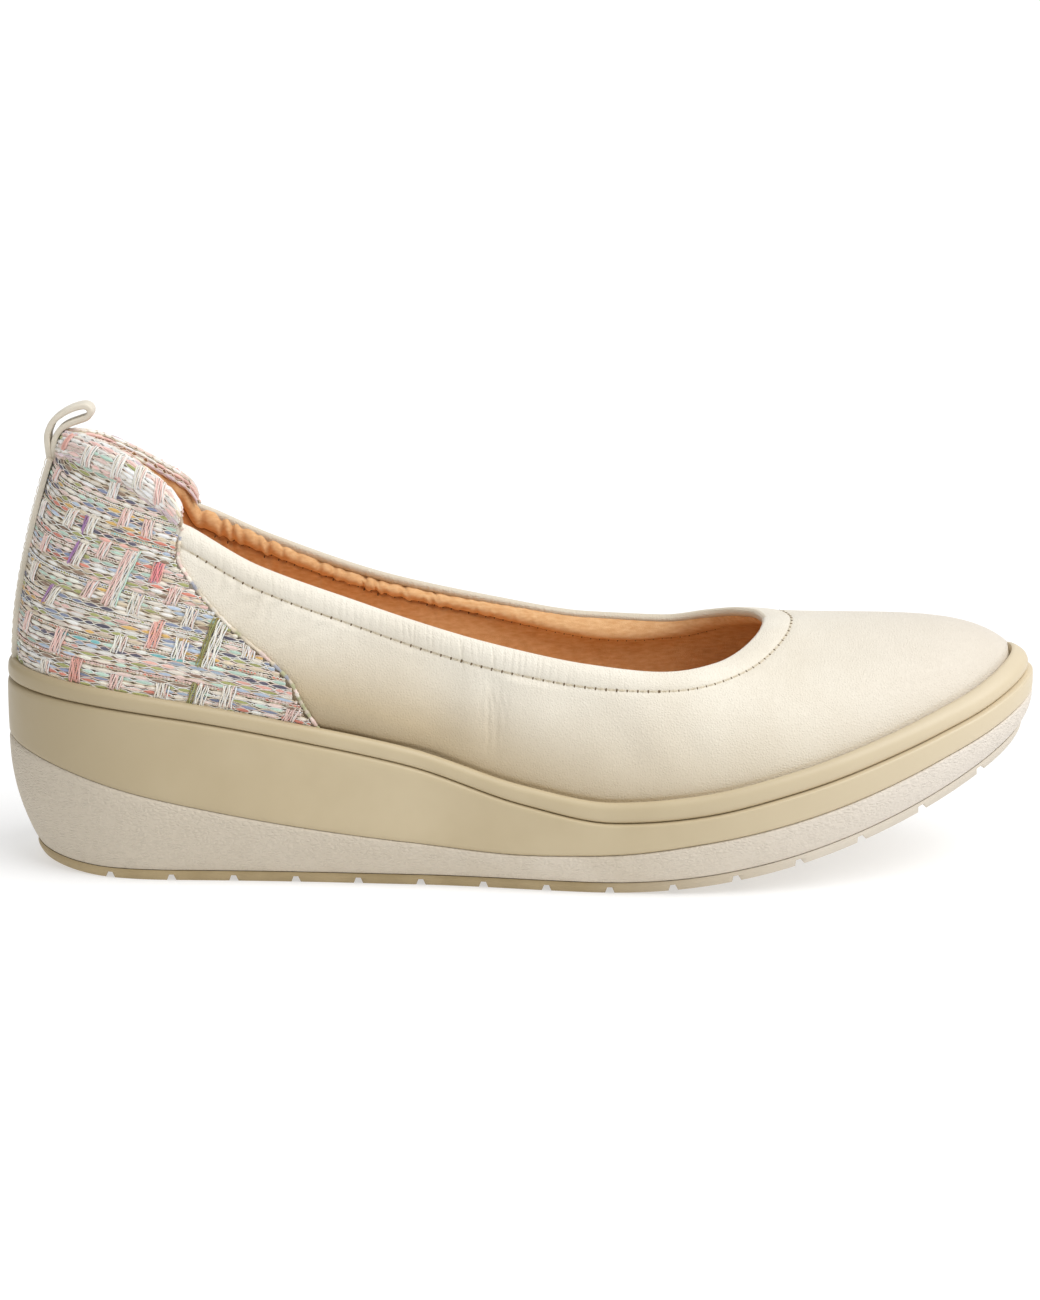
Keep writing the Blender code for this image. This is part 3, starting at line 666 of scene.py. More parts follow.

# Creases given one by one: place on the side of the shoe, length, lean from upright, width and depth. A
# crease below zero depth is a ridge
outer_creases = [
    (-8.2, 43.0, 19.0, 1.0, 0.42, 0.13), (-7.0, 46.5, 11.0, -4.0, 0.34, 0.11),
    (-6.0, 42.5, 13.0, 3.0, 0.40, 0.10), (-5.0, 47.5, 9.0, -7.0, 0.36, 0.09),
    (-9.8, 47.0, 8.0, 8.0, 0.40, 0.09), (-3.8, 43.5, 10.0, 5.0, 0.44, 0.07),
    (-7.0, 45.0, 22.0, 0.0, 2.6, 0.42), (-20.0, 44.0, 26.0, 18.0, 6.0, 0.75),
    (3.0, 47.0, 22.0, -8.0, 5.0, -0.42), (-44.0, 54.0, 26.0, 58.0, 5.0, 0.45),
    (-36.0, 46.0, 20.0, 62.0, 4.0, 0.30), (-52.0, 62.5, 12.0, 66.0, 1.0, 0.30),
    (-48.0, 59.0, 11.0, 58.0, 1.0, 0.24), (-60.5, 68.5, 9.0, 50.0, 0.9, 0.32),
    (-64.5, 71.0, 8.0, 56.0, 0.9, 0.30), (-68.0, 75.0, 8.0, 44.0, 0.85, 0.30),
    (-71.5, 76.5, 6.0, 36.0, 0.8, 0.26), (-67.5, 69.0, 9.0, 62.0, 1.0, 0.26),
    (-56.0, 63.0, 9.0, 44.0, 1.0, 0.24), (24.0, 38.0, 18.0, -30.0, 4.0, 0.30),
    (40.0, 37.0, 14.0, -42.0, 3.0, 0.16),
]
inner_creases = [
    (-10.0, 47.0, 16.0, 4.0, 0.6, 0.28), (-6.5, 46.0, 14.0, -4.0, 0.5, 0.22),
    (-14.0, 48.0, 22.0, 8.0, 3.2, -0.28), (-30.0, 50.0, 24.0, 20.0, 5.0, 0.45),
    (-50.0, 60.0, 14.0, 60.0, 0.7, 0.15), (-62.0, 69.0, 11.0, 50.0, 0.7, 0.14),
    (26.0, 40.0, 16.0, -30.0, 3.2, 0.22),
]
CREASE_RIDGE = 0.35
CREASE_RIDGE_OFF = 2.1
CREASE_FREE = 2.0
CREASE_WAVE = 0.35
CREASE_WAVE_WIDE = 0.7
CREASE_WAVE_RATE = 1.1


def creases(rows, x, z):
    """Depth of the creases: a soft trough each, with a low ridge on both its sides."""
    total = np.zeros_like(x)
    for at_x, at_z, length, lean, width, deep in rows:
        lean = np.radians(lean)
        along = (z - at_z) * np.cos(lean) + (x - at_x) * np.sin(lean)
        across = (x - at_x) * np.cos(lean) - (z - at_z) * np.sin(lean)
        wave = np.sin(CREASE_WAVE_RATE * along + at_x)
        across = across + CREASE_WAVE * min(width, CREASE_WAVE_WIDE) * wave
        ridges = np.exp(-(((np.abs(across) - CREASE_RIDGE_OFF * width) / width) ** 2))
        trough = np.exp(-((across / width) ** 2)) - CREASE_RIDGE * ridges
        total += deep * trough * np.exp(-((2.0 * along / length) ** 4))
    return total


# Section of the collar's band: distance below the edge, and how far out it stands
(collar_roll,) = curves(
    (-0.3, -1.0), (-0.24, -0.66), (0.0, -0.3), (0.4, 0.12), (0.9, 0.4), (3.0, 0.85), (4.8, 0.6), (5.8, 0.12),
    (6.3, -0.3), (6.75, -0.12), (8.2, 0.1), (11.0, 0.0), (16.0, 0.0),
)
# How full the band stands round the collar: gathered at the sides, nearly flush round the throat
(band_full,) = curves((0.0, 1.0), (84.0, 1.0), (112.0, 0.5), (180.0, 0.42))


def below_edge(height):
    """Distance down the wall from the collar's edge, scaled so that the seam is everywhere at SEAM_BELOW."""
    return (EDGE - height) * EDGE_SPEED * SEAM_SCALE


def leather_loop(height):
    """Loop of the leather's outer face at heights for each turn, with its roll, pleats and creases."""
    x, _, z = wall_point(TURNS, height).T
    below = below_edge(height)
    outset = collar_roll(below) * np.where(below > 0.0, band_full(LAP), 1.0)
    gathered = pleats(LEATHER_PLEATS, x, below, SEAM_BELOW)
    worn = np.where(OUTER_SIDE, creases(outer_creases, x, z), creases(inner_creases, x, z))
    free = np.clip((below - SEAM_BELOW) / CREASE_FREE, 0.0, 1.0)
    return wall_face(TURNS, height, outset - PLEAT_DEEP * gathered - worn * free)


def rim_loop(below, inset):
    """Loop of the leather turned in over the collar's edge, kept short where the tweed takes its place."""
    height = EDGE - below * COLLAR_SHARE / EDGE_SPEED
    x = wall_point(TURNS, height)[:, 0]
    gathered = pleats(LEATHER_PLEATS, x, RIM_GATHERED_AT, SEAM_BELOW)
    turned_in = LEATHER_THICK + (inset - LEATHER_THICK) * COLLAR_SHARE
    return wall_face(TURNS, height, PLEAT_DEEP * gathered * COLLAR_SHARE - turned_in)


def feather_loop(inset):
    """Loop of the upper's lower edge, in the recess of the cup."""
    xy = sole_edge(TURNS, lip_width(UPPER_X) + GAP + inset)
    return np.column_stack([xy, lip_top(UPPER_X) - RECESS + GAP])


# Painted shade round the shoe, where the leather turns under towards the lip and in its seam and joint: how
# strong it is at the lip, how far up it reaches, and the fine painted shadow lines at the seam and in the
# joint with the lip
(most_shade,) = curves(
    (0.0, 0.2), (50.0, 0.55), (60.0, 0.74), (74.0, 0.68), (86.0, 0.56), (98.0, 0.47), (112.0, 0.34),
    (130.0, 0.14), (180.0, 0.0),
)
SHADE_REACH = 17.0
SEAM_SHADE = 0.3
SEAM_SHADE_HALF = 0.22
JOINT_SHADE = 0.4
JOINT_SHADE_HALF = 0.4
# Painted shade on the inner side's turned-in edge. The painted shade's colours are warm, as light thrown back
# from the beige lip, and brown where it is strongest, as in the shadow lines
RIM_SHADE = 0.28
SHADE_WARM = (0.0, 0.6, shade(196, 178, 146))
SHADE_DARK = (0.6, 1.0, shade(120, 102, 76))


def loop_shade(height):
    """Painted shade, warm towards the lip, with a fine painted shadow line there and at the seam."""
    above = wall_point(TURNS, height)[:, 2] - lip_top(UPPER_X)
    by_lip = most_shade(LAP) * np.exp(-((np.clip(above, 0.0, None) / SHADE_REACH) ** 2))
    from_seam = (below_edge(height) - SEAM_BELOW) / SEAM_SHADE_HALF
    by_seam = SEAM_SHADE * np.exp(-(from_seam**2)) * COLLAR_SHARE
    joint = JOINT_SHADE * most_shade(LAP) * np.exp(-((above / JOINT_SHADE_HALF) ** 2))
    return np.clip(by_lip + by_seam + joint, 0.0, 1.0)


def marked(material, name, output="Fac"):
    """Output of a material's node that reads what its piece keeps under a name."""
    return place(material.node_tree, "ShaderNodeAttribute", {"attribute_name": name}).node.outputs[output]


def mark(piece, name, values):
    """Keeps numbers, directions or colours for each point of a piece, under a name."""
    values = np.asarray(values, np.float32)
    kinds = {1: ("FLOAT", "value"), 3: ("FLOAT_VECTOR", "vector"), 4: ("FLOAT_COLOR", "color")}
    kind, field = kinds[values.size // len(piece.data.vertices)]
    piece.data.attributes.new(name, kind, "POINT").data.foreach_set(field, values.ravel())


# Painted shade: the leather is tinted darker towards the toe, which tilts up into the light
leather = new_material(
    "upper_leather", shade(229, 221, 205), shade(239, 233, 219), 26.0, rough=(5.0, 0.42, 0.54),
    tints=[(66.0, 116.0, shade(222, 213, 199))], relief=(0.7, 0.26, 0.15), Specular_IOR_Level=0.45,
    Coat_Weight=0.08, Coat_Roughness=0.32,
)
# The painted shade that the upper keeps turns its colour warm, then dark
painted_shade = marked(leather, "shade")
for low, high, color in (SHADE_WARM, SHADE_DARK):
    share = place(leather.node_tree, "ShaderNodeMapRange", Value=painted_shade, From_Min=low, From_Max=high)
    paint(leather, share, color)

edge_per_mm = 1.0 / EDGE_SPEED
edge_at = EDGE - HEM_CUT * (1.0 - COLLAR_SHARE) / EDGE_SPEED
band_at = edge_at - (SEAM_BELOW + BAND_FOOT) / SEAM_SCALE * edge_per_mm
band_top = edge_at - BAND_TOP * edge_per_mm
outer_heights = [share * band_at for share in np.linspace(0.03, 1.0, 42)]
outer_heights += [band_at + share * (band_top - band_at) for share in np.linspace(0.04, 1.0, 24)]
upper_loops = [feather_loop(0.0)] + [leather_loop(height) for height in outer_heights]
upper_loops += [leather_loop(edge_at - below * edge_per_mm) for below in RIM_BELOWS]
upper_loops += [rim_loop(below, inset) for below, inset in RIM_TURNED_IN]
upper_loops += [wall_face(TURNS, share * edge_at, -LEATHER_THICK) for share in (0.9, 0.7, 0.4, 0.05)]
upper_loops.append(feather_loop(LEATHER_THICK))
faces = loop_faces(len(upper_loops), len(TURNS), closed=True)
upper = add_piece("upper_leather", upper_loops, faces, leather, sharp_angle=1.2)
# Painted shade for each point of the upper; the inner side's turned-in edge is painted darker, as in shade
shades = np.zeros((len(upper_loops), len(TURNS)))
shades[1 : len(outer_heights) + 1] = [loop_shade(height) for height in outer_heights]
shades[len(outer_heights) + 1 :, ~OUTER_SIDE] = RIM_SHADE
mark(upper, "shade", shades)
fit(upper, "upper", "upper")


# Lining: tan microsuede inside the leather. It turns in at the collar as a narrow tunnel round the
# elastic, gathered more than the leather, and a seam under the tunnel joins it to the lower lining.
LINING_FACE = 1.8
LINING_BACK = LEATHER_THICK + 0.1
TUNNEL_SEAM = 6.0
TUNNEL_TALL = 5.6
TUNNEL_DEEP = 0.95
TUNNEL_STEPS = np.array([
    0.0, 0.05, 0.12, 0.3, 0.5, 0.8, 1.2, 1.7, 2.2, 2.6, 3.1, 3.6, 4.0, 4.4, 4.8, 5.1, 5.4, 5.65, 5.9, 6.4,
    7.0,
])
TUNNEL_PLEAT_GAP = 3.0
TUNNEL_PLEAT_WIDE = (0.45, 0.8)
TUNNEL_PLEAT_SPREAD = 1.15
SCALLOP = 1.0
SCALLOP_AT = 2.0
HANG_REACH = 4.4
LINING_BELOW = 7.0
LINING_FADE = 30.0
# Painted shadow along the seam valley under the tunnel: where it lies down the tunnel, its half width and its
# colour
SEAM_SHADOW = 5.4
SEAM_SHADOW_HALF = 0.35
SEAM_SHADOW_COLOR = shade(112, 62, 32)
SIDE_SEAM_TURN = 311.2
SIDE_SEAM_HALF = 0.4
SIDE_SEAM_DEEP = 0.5
(tunnel_roll,) = curves(
    (0.0, 1.2), (0.12, 1.9), (0.5, 2.6), (1.2, 3.3), (2.6, 3.8), (4.0, 3.5), (4.8, 2.9), (5.3, 2.0),
    (5.6, 1.6), (6.0, 1.75), (6.8, 2.0), (9.0, 1.9),
)
(scallop_at,) = curves((-85.0, 0.3), (-68.0, 1.0), (-30.0, 1.0), (-14.0, 0.5), (4.0, 0.15), (40.0, 0.0))
TUNNEL_PLEATS = [pleat_rows(seed, TUNNEL_PLEAT_GAP, scallop_at, TUNNEL_PLEAT_WIDE) for seed in (15, 16)]
# How far the tunnel starts under the leather's edge round the collar, and how tall it is
tunnel_start, tunnel_tall = curves(
    (0.0, -0.1, 6.3), (47.0, -0.1, 6.3), (50.0, 0.0, 6.3), (58.0, 0.2, 5.4), (65.0, 1.3, 4.4),
    (72.0, 1.9, 4.0), (83.0, 1.8, 4.4), (93.0, 1.1, 5.8), (108.0, 0.7, 7.6), (130.0, 0.5, 8.0),
    (180.0, 0.5, 7.4),
)
# How far the tunnel hangs away from the wall, round the collar and down the tunnel
(hang_round,) = curves(
    (0.0, 0.0), (84.0, 0.0), (96.0, 0.3), (106.0, 0.42), (118.0, 0.15), (128.0, 0.0), (180.0, 0.0)
)
(hang_down,) = curves((0.0, 0.0), (4.4, 1.0), (5.0, 0.95), (5.5, 0.45), (6.2, 0.12), (7.0, 0.0))


def tunnel_pleats(x, below):
    return pleats(TUNNEL_PLEATS, x / TUNNEL_PLEAT_SPREAD, below, TUNNEL_SEAM)


def lining_loop(height, below, inset):
    """Loop of the lining's face, with the pleats of its tunnel and the seam at its side."""
    x = wall_point(TURNS, height)[:, 0]
    seam = SIDE_SEAM_DEEP * np.exp(-(((TURNS - SIDE_SEAM_TURN) / SIDE_SEAM_HALF) ** 2))
    return wall_face(TURNS, height, TUNNEL_DEEP * tunnel_pleats(x, below) + seam - inset)


def tunnel_height(below):
    """Height on the wall of a place down the tunnel."""
    return edge_at - (lining_top + below * tunnel_scale) * edge_per_mm


tunnel_scale = tunnel_tall(LAP) / TUNNEL_TALL
lining_top = tunnel_start(LAP) + SCALLOP * tunnel_pleats(wall_point(TURNS, edge_at)[:, 0], SCALLOP_AT)
lining_loops = []
for below in TUNNEL_STEPS:
    hanging = hang_round(LAP) * HANG_REACH * tunnel_scale * hang_down(below)
    lining_loops.append(lining_loop(tunnel_height(below), below, tunnel_roll(below) + hanging))
for share in np.linspace(0.96, 0.06, 14):
    far = LINING_BELOW + (1.0 - share) * LINING_FADE
    lining_loops.append(lining_loop(share * tunnel_height(TUNNEL_STEPS[-1]), far, LINING_FACE))
lining_loops += [feather_loop(LINING_FACE), feather_loop(LINING_BACK)]
lining_loops += [wall_face(TURNS, share * edge_at, -LINING_BACK) for share in (0.06, 0.4, 0.7, 0.9)]
faces = loop_faces(len(lining_loops), len(TURNS), closed=True)
suede = suede_material("lining_suede")
# The seam valley under the tunnel is painted dark, as the tunnel's shadow
paint(suede, marked(suede, "seam"), SEAM_SHADOW_COLOR)
lining = add_piece("lining_suede", lining_loops, faces, suede, sharp_angle=1.2)
seam_shadow = np.zeros((len(lining_loops), len(TURNS)))
seam_shadow[: len(TUNNEL_STEPS)] = np.exp(-(((TUNNEL_STEPS - SEAM_SHADOW) / SEAM_SHADOW_HALF) ** 2))[:, None]
mark(lining, "seam", seam_shadow)
fit(lining, "insole")


# Stitches of the collar: one row of cream thread under the leather's turned edge and one of tan thread
# under the lining's tunnel, each stitch sunk between two needle holes.
# A stitch has a pitch, a length, the radius of its thread and the radius of its needle holes
QUARTER_STITCH = (2.55, 2.1, 0.19, 0.36)
VAMP_STITCH = (2.3, 1.95, 0.16, 0.28)
LINING_STITCH = (2.3, 1.9, 0.16, 0.3)
LINING_STITCH_LIFT = 0.15
LINING_STITCH_STEP = 15
STITCH_SUNK = -1.3
STITCH_PROUD = 2.2
HOLE_PROUD = 0.1
HOLE_SHAPE = (0.6, 1.35, 0.6)
VAMP_TURNS = (112.0, 248.0)

thread = new_material(
    "cream_thread", shade(186, 172, 144), shade(226, 215, 192), 0.6, Roughness=0.75, Sheen_Weight=0.2
)
tan_thread = new_material(
    "tan_thread", shade(176, 118, 70), shade(212, 156, 104), 0.6, Roughness=0.8, Sheen_Weight=0.2
)
# Needle holes are dark blobs at each stitch's end: painted shade for the inside of each hole
hole = new_material(
    "needle_hole_shade", shade(96, 80, 60), shade(128, 110, 86), 0.5, Roughness=0.95, Specular_IOR_Level=0.1
)

inputs = {"Geometry": "Geometry", "Thread": "Material", "Hole": "Material"}
stitch_sizes = ("Pitch", "Long", "Thread Radius", "Hole Radius")
inputs.update({size: "Float" for size in stitch_sizes})
seam_tree, given, result = node_group("GeometryNodeTree", "Sewn row", inputs, {"Geometry": "Geometry"})


def sewing(kind, settings=None, **sockets):
    return place(seam_tree, kind, settings, **sockets)


def times(size, factor):
    return sewing("ShaderNodeMath", {"operation": "MULTIPLY"}, Value=given[size], Value_001=factor)


def vector(x, z):
    return sewing("ShaderNodeCombineXYZ", X=x, Z=z)


seam_curve = sewing("GeometryNodeMeshToCurve", Mesh=given["Geometry"])
spots = sewing("GeometryNodeCurveToPoints", {"mode": "LENGTH"}, Curve=seam_curve, Length=given["Pitch"])
out = sewing("GeometryNodeInputNamedAttribute", {"data_type": "FLOAT_VECTOR"}, Name="out")
tangent = spots.node.outputs["Tangent"]
along_seam = sewing("FunctionNodeAlignRotationToVector", {"axis": "X"}, Vector=tangent)
upright = {"axis": "Z", "pivot_axis": "X"}
stood_up = sewing("FunctionNodeAlignRotationToVector", upright, Rotation=along_seam, Vector=out)
sunk = times("Thread Radius", STITCH_SUNK)
bow = sewing(
    "GeometryNodeCurveQuadraticBezier",
    Resolution=6,
    Start=vector(times("Long", -0.5), sunk),
    Middle=vector(0.0, times("Thread Radius", STITCH_PROUD)),
    End=vector(times("Long", 0.5), sunk),
)
circle = sewing("GeometryNodeCurvePrimitiveCircle", Resolution=6, Radius=given["Thread Radius"])
stitch = sewing("GeometryNodeCurveToMesh", Curve=bow, Profile_Curve=circle, Fill_Caps=True)
stitch = sewing("GeometryNodeSetMaterial", Geometry=stitch, Material=given["Thread"])
# A dark blob at the stitch's end: painted shade for its needle hole
pit = sewing("GeometryNodeMeshIcoSphere", Radius=given["Hole Radius"], Subdivisions=2)
pit_place = vector(times("Pitch", 0.5), times("Hole Radius", HOLE_PROUD))
pit = sewing("GeometryNodeTransform", Geometry=pit, Translation=pit_place, Scale=HOLE_SHAPE)
pit = sewing("GeometryNodeSetMaterial", Geometry=pit, Material=given["Hole"])
both = sewing("GeometryNodeJoinGeometry")
seam_tree.links.new(stitch, both.node.inputs["Geometry"])
seam_tree.links.new(pit, both.node.inputs["Geometry"])
sewn = sewing("GeometryNodeInstanceOnPoints", Points=spots, Instance=both, Rotation=stood_up)
whole = sewing("GeometryNodeRealizeInstances", Geometry=sewn)
seam_tree.links.new(sewing("GeometryNodeSetShadeSmooth", Geometry=whole), result["Geometry"])


def grow(piece, tree, inputs):
    """Runs a geometry tree on a piece with its named inputs, and keeps the mesh that it makes."""
    modifier = piece.modifiers.new(tree.name, "NODES")
    modifier.node_group = tree
    for socket in tree.interface.items_tree:
        if socket.in_out == "INPUT" and socket.name in inputs:
            modifier[socket.identifier] = inputs[socket.name]
    settle(piece)


def path_piece(name, paths):
    """Object of bare edges along paths of points in millimetres."""
    starts = np.cumsum([0] + [len(path) for path in paths[:-1]])
    edges = []
    for start, path in zip(starts, paths):
        run = np.arange(start, start + len(path) - 1)
        edges.append(np.column_stack([run, run + 1]))
    mesh = bpy.data.meshes.new(name)
    mesh.from_pydata((np.concatenate(paths) * MM).tolist(), np.concatenate(edges).tolist(), [])
    piece = bpy.data.objects.new(name, mesh)
    bpy.context.scene.collection.objects.link(piece)
    return piece


def sew(name, slot, sizes, rows, spun=thread):
    """Rows of stitches along paths, each given with the directions out of the leather."""
    piece = path_piece(name, [path for path, _ in rows])
    mark(piece, "out", np.concatenate([directions for _, directions in rows]))
    lengths = {key: size * MM for key, size in zip(stitch_sizes, sizes)}
    grow(piece, seam_tree, {"Thread": spun, "Hole": hole, **lengths})
    fit(piece, slot)


seam_turns = np.linspace(50.5, 309.5, 900)
seam_lap, seam_side = lap_and_side(seam_turns)
seam_height = edge_height(seam_turns) - seam_below(seam_lap) / edge_speed(seam_turns)
seam_x = wall_point(seam_turns, seam_height)[:, 0]
nipped = pleats(LEATHER_PLEATS, seam_x, SEAM_BELOW, SEAM_BELOW, seam_side < 0.0)
seam_outset = collar_roll(SEAM_BELOW) * band_full(seam_lap)
seam_path = wall_face(seam_turns, seam_height, seam_outset - PLEAT_DEEP * nipped)
seam_out = wall_normal(seam_turns, seam_height)
first, last = np.searchsorted(seam_turns, VAMP_TURNS)
quarter_rows = [(seam_path[:first], seam_out[:first]), (seam_path[last:], seam_out[last:])]
sew("quarter_stitches", "upper", QUARTER_STITCH, quarter_rows)
sew("vamp_stitches", "upper", VAMP_STITCH, [(seam_path[first:last], seam_out[first:last])])

into_shoe = -wall_normal(TURNS, tunnel_height(TUNNEL_STEPS[LINING_STITCH_STEP]))
sewn_valley = lining_loops[LINING_STITCH_STEP] + LINING_STITCH_LIFT * into_shoe
runs = [(TURNS > start) & (TURNS < end) for start, end in ((52.0, 178.0), (182.0, 308.0))]
lining_rows = [(sewn_valley[run], into_shoe[run]) for run in runs]
sew("lining_stitches", "insole", LINING_STITCH, lining_rows, tan_thread)


# Heel counter: bouclé tweed laid over the back of the upper, woven from slubbed pastel wefts bound by
# wavy cream threads and crossed by flat warp ribbons. Its top edge is hemmed over the elastic, and
# its front edge is folded under and sewn down along a slanting seam.
BAND = 7.0
HEM_TALL = 6.2
HEM_ROLL = 7.9
HEM_END = 48.0
HEM_ROUND_TURN = 4.2
HEM_ROUND_DROP = 5.0
HEM_FLAT = 0.85
HEM_FLAT_TURN = 12.0
CLOTH_LIFTS = (0.15, 0.55)
CLOTH_HEM = (0.6, HEM_ROLL - 0.5)
CLOTH_SHORT = 0.985
CLOTH_FOOT = 0.6
YARN_LIFT = 0.82
FAN = 0.15
FAN_TURN = 47.0
FIRST_RISE = 1.3
SEAM_SLACK = 0.3
ALONG_NUDGE = 0.15
LIP_LINE_RISE = 2.0
EDGE_HEM = (0.3, HEM_ROLL - 0.5)
EDGE_FAT = 0.44
EDGE_LIFT = 0.6
EDGE_DYE_LONG = 0.9
EDGE_DYE_COUNT = 90

# Turn of the front seam, up the wall
(seam_turn_of,) = curves(
    (0.00, 67.6), (0.25, 65.2), (0.40, 64.0), (0.54, 60.9), (0.69, 54.8), (0.81, 50.0), (0.87, 48.3),
    (1.00, 48.0),
)
# Roll of the hem: distance along the cloth from the valley, up the wall from it, and out from the wall
hem_rise, hem_outset = curves(
    (-1.2, -1.2, 0.0), (0.0, 0.0, -0.1), (0.9, 0.75, 0.5), (2.1, 1.8, 1.05), (3.6, 3.25, 1.25),
    (5.0, 4.55, 0.85), (6.2, 5.4, 0.05), (7.1, 5.65, -0.8), (7.9, 5.4, -1.6), (8.7, 4.7, -2.2),
    (9.8, 3.7, -2.4),
)

wall_turns = np.linspace(-75.0, 75.0, 301)
wall_heights = np.linspace(0.0, 1.0, 81)
wall_grid = wall_point(*np.meshgrid(wall_turns, wall_heights, indexing="ij"))
wall_steps = np.linalg.norm(np.diff(wall_grid, axis=1), axis=-1)
wall_rises = np.concatenate([np.zeros((len(wall_turns), 1)), np.cumsum(wall_steps, axis=1)], axis=1)
height_shares = np.array([np.interp(wall_heights * rise[-1], rise, wall_heights) for rise in wall_rises])


def wall_tall(turn):
    """Length of the wall from the lip to the full topline."""
    return np.interp(turn, wall_turns, wall_rises[:, -1])


def height_of(turn, rise):
    """Height, 0 to 1, at a distance up the wall from the lip; past the topline it runs straight on."""
    column = np.clip((turn - wall_turns[0]) / (wall_turns[1] - wall_turns[0]), 0.0, len(wall_turns) - 1.001)
    row = np.clip(rise / wall_tall(turn), 0.0, 0.99999) * (len(wall_heights) - 1)
    i = column.astype(int)
    j = row.astype(int)
    s = column - i
    t = row - j
    low = height_shares[i, j] * (1.0 - s) + height_shares[i + 1, j] * s
    high = height_shares[i, j + 1] * (1.0 - s) + height_shares[i + 1, j + 1] * s
    past = np.clip(rise - wall_tall(turn), 0.0, None) / edge_speed(turn)
    return low * (1.0 - t) + high * t + past


def cloth_place(turn, rise, lift):
    """Height and outset on the wall of a point of the cloth, at a lift above its underside."""
    along = rise - (wall_tall(turn) - HEM_TALL)
    after = along + ALONG_NUDGE
    before = along - ALONG_NUDGE
    up_slope = np.where(along < -ALONG_NUDGE, 2.0 * ALONG_NUDGE, hem_rise(after) - hem_rise(before))
    out_slope = hem_outset(after) - hem_outset(before)
    steep = np.hypot(up_slope, out_slope)
    rounding = np.clip((np.abs(turn) - HEM_END + HEM_ROUND_TURN) / HEM_ROUND_TURN, 0.0, 1.0)
    drop = HEM_ROUND_DROP * (1.0 - np.sqrt(1.0 - rounding**2)) / HEM_TALL
    up = np.where(along < 0.0, along, hem_rise(along) * (1.0 - drop)) - lift * out_slope / steep
    puff = 1.0 - HEM_FLAT * np.exp(-((turn / HEM_FLAT_TURN) ** 2))
    out = np.where(along > 0.0, puff, 1.0) * hem_outset(along) + lift * up_slope / steep
    return height_of(turn, wall_tall(turn) - HEM_TALL + up), out


def cloth_point(turn, rise, lift):
    """Point of the cloth, rise millimetres up it from the lip, over the roll of the hem at its top."""
    turn, rise, lift = np.broadcast_arrays(np.asarray(turn, float), rise, lift)
    return wall_face(turn, *cloth_place(turn, rise, lift))


def band_start(turn):
    """Height where the wall ends and the collar's band begins."""
    lap, _ = lap_and_side(turn)
    return 1.0 - (BAND + collar_sag(lap)) / edge_speed(turn)


share = np.linspace(0.0, 1.0, 120)
SEAM_TURN = seam_turn_of(share * band_start(np.zeros(1))[0])
columns = wall_rises[np.searchsorted(wall_turns, SEAM_TURN)]
seam_heights = share * band_start(SEAM_TURN)
SEAM_RISE = np.array([np.interp(h, wall_heights, rise) for h, rise in zip(seam_heights, columns)])


def seam_turn_at(rise):
    """Turn of the front seam at a distance up the cloth."""
    return np.interp(rise, SEAM_RISE, SEAM_TURN)


DYES = {
    "white": shade(250, 247, 242),
    "cream": shade(246, 237, 222),
    "shell": shade(247, 219, 210),
    "rose": shade(248, 204, 196),
    "salmon": shade(244, 180, 166),
    "pink": shade(242, 142, 148),
    "moss": shade(140, 132, 56),
    "coral": shade(216, 124, 104),
    "mint": shade(192, 224, 208),
    "teal": shade(112, 194, 198),
    "sky": shade(176, 194, 216),
    "slate": shade(122, 136, 170),
    "navy": shade(62, 62, 94),
    "olive": shade(164, 168, 96),
    "mustard": shade(226, 182, 96),
    "lilac": shade(224, 202, 210),
    "purple": shade(166, 116, 178),
    "sand": shade(222, 205, 176),
    "bark": shade(136, 106, 84),
}
# Dyes of the wefts from the lip up: the main one of each row, and the one that it changes to
weft_dyes = [
    ("olive", "sand"), ("coral", "shell"), ("slate", "sky"), ("mint", "olive"), ("bark", "shell"),
    ("rose", "coral"), ("sky", "mint"), ("olive", "bark"), ("salmon", "cream"), ("navy", "sky"),
    ("mint", "teal"), ("coral", "navy"), ("sand", "mustard"), ("sky", "olive"), ("navy", "slate"),
    ("mustard", "mint"), ("rose", "olive"), ("shell", "olive"), ("navy", "slate"), ("bark", "cream"),
    ("olive", "sand"), ("mint", "sky"), ("mustard", "sky"), ("olive", "slate"), ("rose", "bark"),
]
hem_dyes = [
    ("lilac", "rose"), ("rose", "lilac"), ("white", "rose"), ("shell", "white"), ("white", "mint"),
    ("white", "olive"), ("rose", "white"), ("white", "lilac"), ("shell", "white"), ("rose", "white"),
]
pale_dyes = ("white", "cream", "cream", "shell", "white", "cream", "white", "sand")
dark_dyes = ("navy", "bark", "slate", "navy")
edge_dyes = ("cream", "sand", "shell", "rose", "sand", "olive", "cream", "slate")
# Dyes of the threads across each kind of warp ribbon, from the heel forward
ribbon_dyes = {
    "cream": ("cream", "white", "cream", "white", "cream", "shell", "white"),
    "white": ("white", "cream", "white", "white", "shell", "white", "white"),
    "blush": ("shell", "rose", "shell", "rose", "shell", "white", "shell"),
    "satin": ("rose", "salmon", "salmon", "salmon", "salmon", "salmon", "rose"),
    "pink": ("salmon", "pink", "pink", "pink", "pink", "pink", "salmon"),
    "pair": ("shell", "rose", "shell", "rose", "shell", "white", "cream", "white", "mint"),
    "purple": ("purple", "purple", "lilac", "cream", "white", "cream", "cream", "white"),
    "olive": ("moss", "olive", "moss", "cream", "white", "cream", "white", "cream", "white"),
}
